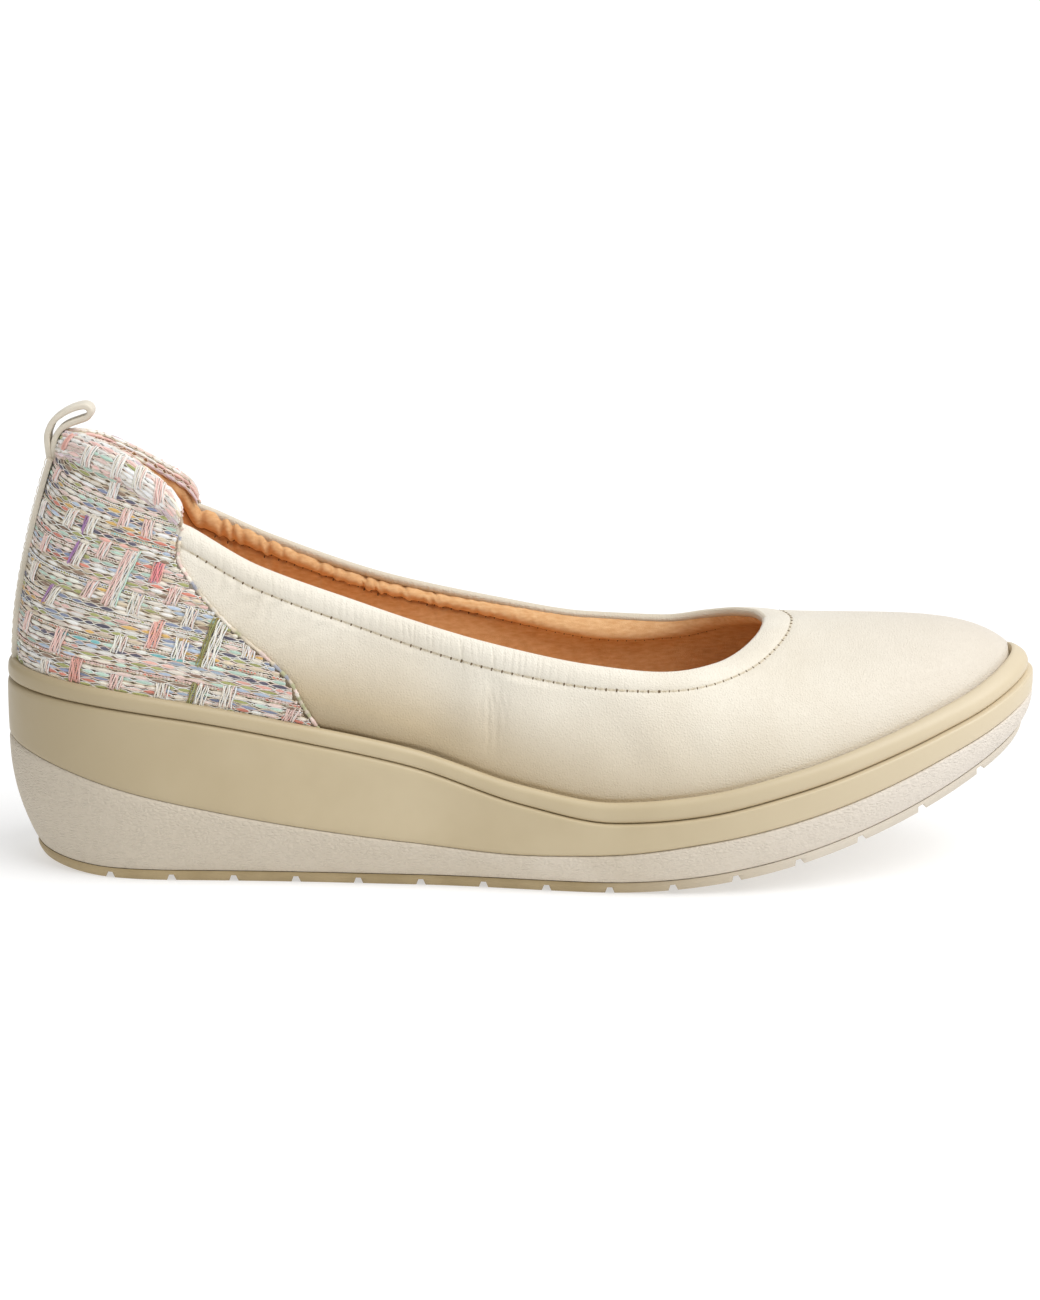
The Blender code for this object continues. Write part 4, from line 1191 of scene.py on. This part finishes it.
# Warp ribbons where they float over the wefts, the same on both sides of the heel: the run round the
# heel and the rise up the cloth at the top and at the foot of each, and its kind
floats = [
    (11.0, 50.2, 10.4, 47.4, "blush"), (32.6, 50.5, 32.6, 47.3, "white"), (22.3, 41.8, 21.4, 38.2, "cream"),
    (38.8, 44.4, 38.4, 41.0, "blush"), (28.4, 41.1, 28.0, 37.6, "purple"), (27.8, 34.4, 26.4, 29.4, "purple"),
    (22.8, 22.6, 20.6, 18.3, "purple"), (43.1, 34.5, 38.9, 21.6, "pair"), (51.2, 33.3, 50.4, 29.2, "pink"),
    (56.6, 28.2, 55.4, 24.5, "blush"), (34.9, 35.8, 33.9, 32.4, "blush"), (33.6, 25.8, 32.2, 22.2, "blush"),
    (52.8, 19.1, 51.2, 13.3, "satin"), (68.5, 22.6, 64.8, 11.2, "olive"), (27.0, 12.6, 25.4, 7.3, "blush"),
    (43.6, 14.2, 42.6, 10.8, "cream"), (32.0, 6.3, 31.3, 1.3, "satin"), (42.9, 4.5, 41.9, 1.4, "blush"),
    (63.8, 5.9, 62.0, 0.9, "olive"), (71.1, 7.2, 69.6, 2.1, "cream"), (76.0, 18.3, 75.3, 15.1, "white"),
    (86.4, 4.5, 85.2, 1.7, "blush"), (12.2, 59.0, 11.2, 55.8, "satin"), (32.5, 57.3, 32.1, 53.1, "white"),
    (46.6, 53.2, 47.8, 48.2, "blush"), (22.3, 57.9, 21.5, 53.3, "white"), (39.6, 55.3, 40.0, 51.1, "cream"),
    (12.9, 26.6, 12.1, 22.4, "cream"), (14.2, 14.2, 12.7, 9.7, "blush"), (22.3, 4.3, 22.0, 1.4, "cream"),
    (54.3, 4.5, 53.7, 1.4, "cream"), (59.1, 15.8, 58.1, 11.6, "white"), (45.9, 42.7, 45.9, 39.3, "blush"),
    (8.7, 41.2, 8.4, 37.7, "white"), (15.5, 33.8, 14.9, 30.2, "blush"), (46.5, 24.7, 45.7, 20.5, "cream"),
    (61.1, 23.8, 60.1, 19.8, "cream"),
]

inputs = {"Geometry": "Geometry", "Sides": "Int", "Yarn": "Material"}
yarn_tree, given, result = node_group("GeometryNodeTree", "Spun yarn", inputs, {"Geometry": "Geometry"})
line = place(yarn_tree, "GeometryNodeMeshToCurve", Mesh=given["Geometry"])
thick = place(yarn_tree, "GeometryNodeInputNamedAttribute", {"data_type": "FLOAT"}, Name="thick")
circle = place(yarn_tree, "GeometryNodeCurvePrimitiveCircle", Resolution=given["Sides"], Radius=1.0)
spun = place(
    yarn_tree, "GeometryNodeCurveToMesh", Curve=line, Profile_Curve=circle, Scale=thick, Fill_Caps=True
)
spun = place(yarn_tree, "GeometryNodeSetShadeSmooth", Geometry=spun)
spun = place(yarn_tree, "GeometryNodeRealizeInstances", Geometry=spun)
spun = place(yarn_tree, "GeometryNodeSetMaterial", Geometry=spun, Material=given["Yarn"])
yarn_tree.links.new(spun, result["Geometry"])

yarn = new_material(
    "tweed_yarn", DYES["white"], None, None, relief=(0.3, 0.12, 0.1), Roughness=0.85, Specular_IOR_Level=0.2,
    Sheen_Weight=0.25,
)
base = yarn.node_tree.nodes["Principled BSDF"].inputs["Base Color"]
yarn.node_tree.links.new(marked(yarn, "dye", "Color"), base)


def spin(name, strands, sides):
    """Yarns along their paths, as thick and dyed as each point says, in one piece on the counter."""
    points, radii, dyes = zip(*strands)
    piece = path_piece(name, points)
    mark(piece, "thick", np.concatenate(radii) * MM)
    mark(piece, "dye", np.concatenate(dyes))
    grow(piece, yarn_tree, {"Sides": sides, "Yarn": yarn})
    fit(piece, "counter")


rng = np.random.default_rng(21)
lip_line = cloth_point(wall_turns, LIP_LINE_RISE, YARN_LIFT)
lip_run = np.concatenate([[0.0], np.cumsum(np.linalg.norm(np.diff(lip_line, axis=0), axis=1))])
heel_run = np.interp(0.0, wall_turns, lip_run)

# Wefts: their pitch, the range of a slub's length and the length of a dark dot, how thick they are, and
# the share of dots, with every few rows a ladder of short slubs
WEFT_PITCH = 1.2
ROW_STEP = 0.2
ROW_LEAST = 25
ROW_CLEAR = 0.2
VALLEY_CLEAR = 0.5
HEM_FIRST = 0.4
HEM_PAST = 1.2
HEM_PITCH = 0.86
SLUB_LONG = (2.6, 5.6)
SLUB_DOTS = 0.1
LADDER_LONG = (0.8, 1.1)
LADDER_DOTS = 0.35
LADDER_ROW = 6
DOT_LONG = 0.7
WEFT_FAT = 0.47
HEM_FAT = 0.52
FULL_SLUB = 2.4
SLUB_LEAST = 0.3
SLUB_FAT = (0.85, 1.15)
SHORT_FAT = 0.55
SHORT_PART = 0.4
HEM_EVEN = 0.45
WEFT_PRESSED = 0.3
WEFT_WAVER = 0.06
BINDER_RADIUS = 0.135
BINDER_OFF = 0.12
BINDER_PARTED = 0.34
BINDER_WAVER = 0.05
BINDER_LIFT = 0.3
BINDER_SUNK = 0.2
BINDER_PRESSED = 0.4
RIBBON_APART = 0.5
RIBBON_RADIUS = 0.2
RIBBON_DIP = 0.9
RIBBON_LOW = 0.45
RIBBON_HIGH = 0.72
RIBBON_STEP = 0.5
RIBBON_WAIST = 0.06
RIBBON_SWAY = 0.12
RIBBON_UNEVEN = 0.4
RIBBON_FOOT = 0.7
RIBBON_LEAST = 5
RIBBON_WAVER = 0.14
RIBBON_SOFT = 0.4
# A slub from end to end: place along it, how thick it is, and how far it parts the threads that bind it
slub_at, slub_thick, slub_part = np.transpose(
    [(0.0, 0.32, 0.0), (0.22, 0.8, 0.66), (0.5, 1.0, 1.0), (0.78, 0.8, 0.66)]
)


def side_scale(turn):
    """How tall the wall is beside the same place on the outer side, for which the ribbons are listed."""
    return wall_tall(turn) / wall_tall(np.abs(turn))


def covered(run, turn, rise):
    """How far a place lies under a floating ribbon."""
    from_heel = np.abs(run - heel_run)
    rise = rise / side_scale(turn)
    total = np.zeros_like(run)
    for top_run, top_rise, foot_run, foot_rise, kind in floats:
        share = (rise - foot_rise) / (top_rise - foot_rise)
        beside = np.abs(from_heel - foot_run - (top_run - foot_run) * share)
        half = 0.5 * len(ribbon_dyes[kind]) * RIBBON_APART
        across = np.clip((half + RIBBON_SOFT - beside) / RIBBON_SOFT, 0.0, 1.0)
        total = np.maximum(total, across * np.clip(1.0 + np.minimum(share, 1.0 - share) * 6.0, 0.0, 1.0))
    return total


def lay_row(rise_at):
    """Spans of a row that lie between the seams of the cloth, as distances along the lip."""
    run = np.arange(lip_run[0], lip_run[-1], ROW_STEP)
    turn = np.interp(run, lip_run, wall_turns)
    inside = np.abs(turn) < seam_turn_at(rise_at(turn)) - SEAM_SLACK
    parts = np.split(np.arange(len(run)), np.flatnonzero(np.diff(inside)) + 1)
    return [(run[part[0]], run[part[-1]]) for part in parts if inside[part[0]] and len(part) > ROW_LEAST]


def dyed(name, cream, spread):
    """A dye softened by the cream fibres in the yarn, with the small shift in lightness of one slub."""
    color = (1.0 - cream) * np.array(DYES[name]) + cream * np.array(DYES["cream"])
    color[:3] = np.clip(color[:3] * (1.0 + spread), 0.0, 0.95)
    return color


def one_of(dyes):
    return dyes[rng.integers(0, len(dyes))]


def slub_dyes(pair, count):
    """Dyes of the slubs along a row: short runs of its two dyes, with pale ones between them."""
    names = []
    while len(names) < count:
        names += [pair[0]] * rng.integers(2, 6)
        names += [one_of(pale_dyes)] * rng.integers(1, 4)
        names += [pair[1]] * rng.integers(1, 4)
    return np.array([dyed(name, 0.1, rng.normal(0.0, 0.12)) for name in names[:count]])


def weave_row(rise_at, span, pair, slub_long, dots, fat):
    """One slubbed weft between the ends of its span, and two pale threads that part round each slub."""
    count = int((span[1] - span[0]) / min(slub_long[0], DOT_LONG)) + 2
    long = np.where(rng.random(count) < dots, DOT_LONG, rng.uniform(*slub_long, count))
    ends = span[0] + np.concatenate([[0.0], np.cumsum(long)])
    ends = np.append(ends[ends < span[1] - SLUB_LEAST], span[1])
    long = np.diff(ends)
    slub = np.repeat(np.arange(len(long)), len(slub_at))
    run = (ends[:-1, None] + slub_at * long[:, None]).ravel()
    turn = np.interp(run, lip_run, wall_turns)
    middle = rise_at(turn)
    pressed = covered(run, turn, middle)
    colors = slub_dyes(pair, len(long))
    for i in np.flatnonzero(long == DOT_LONG):
        colors[i] = dyed(one_of(dark_dyes), 0.05, rng.normal(0.0, 0.15))
    short = np.clip(long / FULL_SLUB, 0.0, 1.0)
    even = np.where(dots > 0.0, slub_thick, HEM_EVEN + (1.0 - HEM_EVEN) * slub_thick)
    full = fat * rng.uniform(*SLUB_FAT, len(long)) * (SHORT_FAT + (1.0 - SHORT_FAT) * short)
    thick = full[slub] * np.tile(even, len(long))
    lift = YARN_LIFT - WEFT_PRESSED * pressed + rng.uniform(-WEFT_WAVER, WEFT_WAVER, len(long))[slub]
    strands = [(cloth_point(turn, middle, lift), thick, colors[slub])]
    part = np.tile(slub_part, len(long)) * (SHORT_PART + (1.0 - SHORT_PART) * short)[slub]
    radius = np.full(len(run), BINDER_RADIUS)
    for side in (-1.0, 1.0):
        waver = rng.uniform(-BINDER_WAVER, BINDER_WAVER, (2, len(run)))
        rise = middle + side * (BINDER_OFF + BINDER_PARTED * part + waver[0])
        lift = YARN_LIFT + BINDER_LIFT - BINDER_SUNK * part - BINDER_PRESSED * pressed + waver[1]
        pale = dyed(one_of(pale_dyes), 0.2, rng.normal(0.0, 0.04))
        strands.append((cloth_point(turn, rise, lift), radius, np.tile(pale, (len(run), 1))))
    return strands


def fanned(turn):
    """How much lower a row of the cloth lies at a turn than at the heel."""
    return 1.0 - FAN * np.abs(turn) / FAN_TURN


def wall_row(base):
    """Rise of a row up to the hem, which starts at the heel from a base."""
    def rise_at(turn):
        rise = base * fanned(turn)
        return np.where(rise < wall_tall(turn) - HEM_TALL - ROW_CLEAR, rise, np.nan)

    return rise_at


def hem_row(along):
    return lambda turn: wall_tall(turn) - HEM_TALL + along


rows = []
rise = FIRST_RISE
valley = wall_tall(wall_turns) - HEM_TALL - VALLEY_CLEAR
highest = np.max(valley / fanned(wall_turns), where=np.abs(wall_turns) < HEM_END, initial=0.0)
while rise < highest:
    ladder = len(rows) % LADDER_ROW == LADDER_ROW - 1
    slubs = (LADDER_LONG, LADDER_DOTS) if ladder else (SLUB_LONG, SLUB_DOTS)
    rows.append((wall_row(rise), weft_dyes[len(rows) % len(weft_dyes)], *slubs, WEFT_FAT))
    rise += WEFT_PITCH
for i, along in enumerate(np.arange(HEM_FIRST, HEM_ROLL + HEM_PAST, HEM_PITCH)):
    rows.append((hem_row(along), hem_dyes[i % len(hem_dyes)], SLUB_LONG, 0.0, HEM_FAT))
wefts = []
binders = []
for rise_at, *yarn_sizes in rows:
    for span in lay_row(rise_at):
        weft, *bound = weave_row(rise_at, span, *yarn_sizes)
        wefts.append(weft)
        binders += bound

warps = []
for top_run, top_rise, foot_run, foot_rise, kind in floats:
    tall = top_rise - foot_rise
    share = np.linspace(-RIBBON_DIP, tall + RIBBON_DIP, int(tall / RIBBON_STEP) + 6) / tall
    rises = foot_rise + share * tall
    over = ease(1.0 + np.minimum(share, 1.0 - share) * tall / RIBBON_DIP)
    drawn_in = 1.0 - RIBBON_WAIST * np.sin(np.pi * np.clip(share, 0.0, 1.0))
    for side in (-1.0, 1.0):
        for k, name in enumerate(ribbon_dyes[kind]):
            across = (k - 0.5 * (len(ribbon_dyes[kind]) - 1)) * RIBBON_APART * drawn_in
            sway = RIBBON_SWAY * np.sin(1.3 * rises + foot_run + 2.0 * k)
            uneven = rng.uniform(-RIBBON_UNEVEN, RIBBON_UNEVEN)
            run = heel_run + side * (foot_run + share * (top_run - foot_run) + across + sway)
            turn = np.interp(run, lip_run, wall_turns)
            rise = (rises + uneven) * side_scale(turn)
            inside = (rise > RIBBON_FOOT) & (rise < wall_tall(turn) - HEM_TALL + HEM_ROLL)
            inside = inside & (np.abs(turn) < seam_turn_at(rise) - SEAM_SLACK)
            if inside.sum() < RIBBON_LEAST:
                continue
            lift = RIBBON_LOW + RIBBON_HIGH * over[inside] + rng.uniform(-RIBBON_WAVER, RIBBON_WAVER)
            color = np.tile(dyed(name, 0.1, rng.normal(0.0, 0.06)), (len(lift), 1))
            path = cloth_point(turn[inside], rise[inside], lift)
            warps.append((path, np.full(len(lift), RIBBON_RADIUS), color))

# The cloth under the yarns, from the lip to the valley and over the hem, with a face on each side
# The cloth's dark tone stands for the shade in the gaps between the yarns: painted shade
backing = new_material(
    "tweed_backing", shade(162, 142, 120), shade(222, 205, 182), 1.1, relief=(0.5, 0.25, 0.2), Roughness=0.95,
    Specular_IOR_Level=0.1,
)
cloth_columns = np.linspace(-1.0, 1.0, 121)
cloth_faces = []
for lift in CLOTH_LIFTS:
    grid = []
    for share in np.linspace(0.0, 1.0, 60):
        middle_rise = CLOTH_FOOT + share * (wall_tall(0.0) - HEM_TALL - CLOTH_FOOT)
        turn = cloth_columns * seam_turn_at(middle_rise * CLOTH_SHORT)
        grid.append(cloth_point(turn, CLOTH_FOOT + share * (wall_tall(turn) - HEM_TALL - CLOTH_FOOT), lift))
    turn = cloth_columns * SEAM_TURN[-1]
    for along in np.linspace(*CLOTH_HEM, 18):
        grid.append(cloth_point(turn, wall_tall(turn) - HEM_TALL + along, lift))
    cloth_faces.append(np.array(grid))
cloth_loop = np.concatenate([cloth_faces[0], cloth_faces[1][::-1]])
row_count, count = cloth_loop.shape[:2]
faces = loop_faces(row_count, count, closed=True, around=False)
for edge in (0, count - 1):
    for r in range(row_count // 2 - 1):
        back = row_count - 1 - r
        faces.append([row * count + edge for row in (r, r + 1, back - 1, back)])
counter = add_piece("counter_cloth", cloth_loop, faces, backing, sharp_angle=1.2)
fit(counter, "counter", "counter")
spin("counter_wefts", wefts, 5)
spin("counter_binders", binders, 4)
spin("counter_ribbons", warps, 4)

# Folded front edge of the tweed, up the seam and over the hem
hem_part = SEAM_RISE[-1] + np.linspace(*EDGE_HEM, 24)
rise = np.concatenate([np.linspace(1.0, SEAM_RISE[-1], 90), hem_part])
thick = EDGE_FAT + 0.08 * np.sin(3.1 * rise) + 0.1 * np.sin(7.3 * rise)
edge_rolls = []
for side in (-1.0, 1.0):
    names = rng.choice(edge_dyes, EDGE_DYE_COUNT)
    dyes = np.array([dyed(name, 0.35, rng.normal(-0.16, 0.1)) for name in names])
    path = cloth_point(side * seam_turn_at(rise), rise, EDGE_LIFT)
    edge_rolls.append((path, thick, dyes[(rise / EDGE_DYE_LONG).astype(int)]))
spin("counter_edges", edge_rolls, 8)


# Back strip: a narrow strip of the same cream leather over the heel's back seam, sewn down along both
# edges before the sole is lasted on.
STRIP_WIDTH = 11.6
STRIP_THICK = 1.5
STRIP_CORNER = 0.32
STRIP_TOP = 7.3
STRIP_FOOT = 0.8
STRIP_STITCH_IN = 1.5
STRIP_SEWN_FOOT = 2.5
STRIP_SEWN_TOP = 0.8
HEEL_TURN = 3.0
HEEL_LIFT = 1.5
OUT_NUDGE = 0.5
STRIP_STITCH = (2.4, 2.0, 0.09, 0.12)
(strip_lift,) = curves((0.0, 0.9), (24.0, 0.9), (44.0, 1.4), (56.0, 1.8))

trim = new_material(
    "trim_leather", shade(212, 204, 187), shade(223, 215, 199), 12.0, rough=(3.0, 0.44, 0.56),
    relief=(0.55, 0.22, 0.04), Specular_IOR_Level=0.45, Coat_Weight=0.06, Coat_Roughness=0.35,
)


def strip_section(width, thick, corner):
    """Rounded section of a cut strip: places across it and out from its underside."""
    points = []
    for across, out, start in ((1, 1, 0), (-1, 1, 90), (-1, -1, 180), (1, -1, 270)):
        for angle in np.radians(start + np.linspace(0.0, 90.0, 6)):
            x = across * (0.5 * width - corner) + corner * np.cos(angle)
            z = 0.5 * thick + out * (0.5 * thick - corner) + corner * np.sin(angle)
            points.append((x, z))
    return np.array(points)


def heel_point(across, rise, lift):
    """Points over the heel's back seam, across millimetres to the inner side of it."""
    left, right = cloth_point(np.array([-HEEL_TURN, HEEL_TURN]), rise, HEEL_LIFT)
    per_mm = 2.0 * HEEL_TURN / np.linalg.norm(right - left)
    return cloth_point(-across * per_mm, rise, lift)


def add_strip(name, loops):
    """Closed strip of the trim's leather through its sections, with a face over each end."""
    rows, count = np.shape(loops)[:2]
    faces = loop_faces(rows, count)
    faces.append(tuple(range(count)))
    faces.append(tuple(range((rows - 1) * count, rows * count)))
    piece = add_piece(name, loops, faces, trim)
    fit(piece, "trim", name)


strip_tall = wall_tall(0.0) - STRIP_TOP
across, out = strip_section(STRIP_WIDTH, STRIP_THICK, STRIP_CORNER).T
strip_rises = np.linspace(STRIP_FOOT, strip_tall, 70)
add_strip("back_strip", [heel_point(across, rise, strip_lift(rise) + out) for rise in strip_rises])

stitch_rises = np.linspace(STRIP_SEWN_FOOT, strip_tall - STRIP_SEWN_TOP, 120)
strip_rows = []
for side in (-1.0, 1.0):
    row_at = np.array([side * (0.5 * STRIP_WIDTH - STRIP_STITCH_IN)])
    path, above = [
        np.array([heel_point(row_at, rise, strip_lift(rise) + lift)[0] for rise in stitch_rises])
        for lift in (STRIP_THICK, STRIP_THICK + OUT_NUDGE)
    ]
    strip_rows.append((path, (above - path) / OUT_NUDGE))
sew("strip_stitches", "trim", STRIP_STITCH, strip_rows)


# Pull loop: a folded strip of the leather, caught with both ends under the top of the back strip and
# leaning forward over the collar.
LOOP_WIDTH = 6.8
LOOP_THICK = 1.5
LOOP_CORNER = 0.5
# Places along the loop's middle, forward of and above the back of the collar
LOOP_PATH = np.array([
    (-3.5, -8.2), (-4.2, -5.6), (-4.6, -1.4), (-4.1, 1.0), (-2.8, 3.2), (-0.4, 5.0), (2.2, 6.2), (4.6, 6.7),
    (5.9, 6.1), (6.1, 5.0), (5.3, 3.9), (3.2, 3.1), (1.0, 2.3), (-0.8, 1.3), (-2.0, -0.1), (-2.8, -1.9),
    (-3.0, -4.2), (-2.6, -8.0),
])


def rounded_path(points, at):
    """Points on a smooth curve through a path, at places counted in its points."""
    padded = np.vstack([2.0 * points[0] - points[1], points, 2.0 * points[-1] - points[-2]])
    i = np.minimum(at.astype(int), len(points) - 2)
    t = (at - i)[:, None]
    before, start, end, after = padded[i], padded[i + 1], padded[i + 2], padded[i + 3]
    bend = 2.0 * before - 5.0 * start + 4.0 * end - after
    twist = 3.0 * (start - end) + after - before
    return 0.5 * (2.0 * start + t * (end - before) + t * t * bend + t**3 * twist)


collar_back = wall_point(np.zeros(1), np.ones(1))[0]
loop_path = rounded_path(LOOP_PATH, np.linspace(0.0, len(LOOP_PATH) - 1.0, 90)) + collar_back[[0, 2]]
loop_along = np.gradient(loop_path, axis=0)
loop_along = loop_along / np.linalg.norm(loop_along, axis=1, keepdims=True)
across, out = strip_section(LOOP_WIDTH, LOOP_THICK, LOOP_CORNER).T
out = out - 0.5 * LOOP_THICK
pull_loops = []
for (x, z), (along_x, along_z) in zip(loop_path, loop_along):
    pull_loops.append(np.column_stack([x + out * along_z, collar_back[1] + across, z - out * along_x]))
add_strip("pull_loop", pull_loops)


# Stage: a white light table, glowing so that shadows stay faint, under even, soft light from above the
# toe, with the camera low on the shoe's outer side.
FLOOR_REACH = 30.0
TABLE_GLOW = 0.5
SKY_STRENGTH = 0.3
CAMERA_TARGET = Vector((-0.0005, 0.0, 0.0523))
CAMERA_ELEVATION = np.radians(12.0)
CAMERA_AWAY = 0.9
FRAME_TALL = 0.325
SENSOR = 36.0
WHITE = (1.0, 1.0, 1.0, 1.0)
# Direction that each light comes from, its strength and its spread in degrees
LIGHTS = {
    "key_light": ((0.5, -0.3, 0.82), 2.75, 60.0),
    "back_light": ((0.15, 0.85, 0.5), 0.65, 80.0),
    "heel_light": ((-0.8, -0.5, 0.4), 0.34, 90.0),
}

table_top = new_material(
    "white_table", (0.52, 0.52, 0.52, 1.0), (0.54, 0.54, 0.54, 1.0), 900.0, Roughness=0.95,
    Specular_IOR_Level=0.0, Emission_Color=WHITE, Emission_Strength=TABLE_GLOW,
)
reach = FLOOR_REACH / MM
floor_points = [(-reach, -reach, 0.0), (reach, -reach, 0.0), (reach, reach, 0.0), (-reach, reach, 0.0)]
floor = add_piece("floor", floor_points, [(0, 1, 2, 3)], table_top)

scene = bpy.context.scene
scene.view_settings.view_transform = "Standard"
scene.world = bpy.data.worlds.new("studio")
scene.world.use_nodes = True
sky = scene.world.node_tree.nodes["Background"]
sky.inputs["Color"].default_value = WHITE
sky.inputs["Strength"].default_value = SKY_STRENGTH

for name, (towards, strength, spread) in LIGHTS.items():
    light = bpy.data.lights.new(name, "SUN")
    light.energy = strength
    light.angle = np.radians(spread)
    lamp = bpy.data.objects.new(name, light)
    lamp.rotation_mode = "QUATERNION"
    lamp.rotation_quaternion = Vector(towards).to_track_quat("Z", "Y")
    scene.collection.objects.link(lamp)

camera_data = bpy.data.cameras.new("camera")
camera_data.sensor_width = SENSOR
camera_data.lens = SENSOR * CAMERA_AWAY / FRAME_TALL
camera = bpy.data.objects.new("camera", camera_data)
back = Vector((0.0, -np.cos(CAMERA_ELEVATION), np.sin(CAMERA_ELEVATION)))
camera.location = CAMERA_TARGET + CAMERA_AWAY * back
camera.rotation_mode = "QUATERNION"
camera.rotation_quaternion = back.to_track_quat("Z", "Y")
scene.collection.objects.link(camera)
scene.camera = camera

bpy.context.view_layer.update()
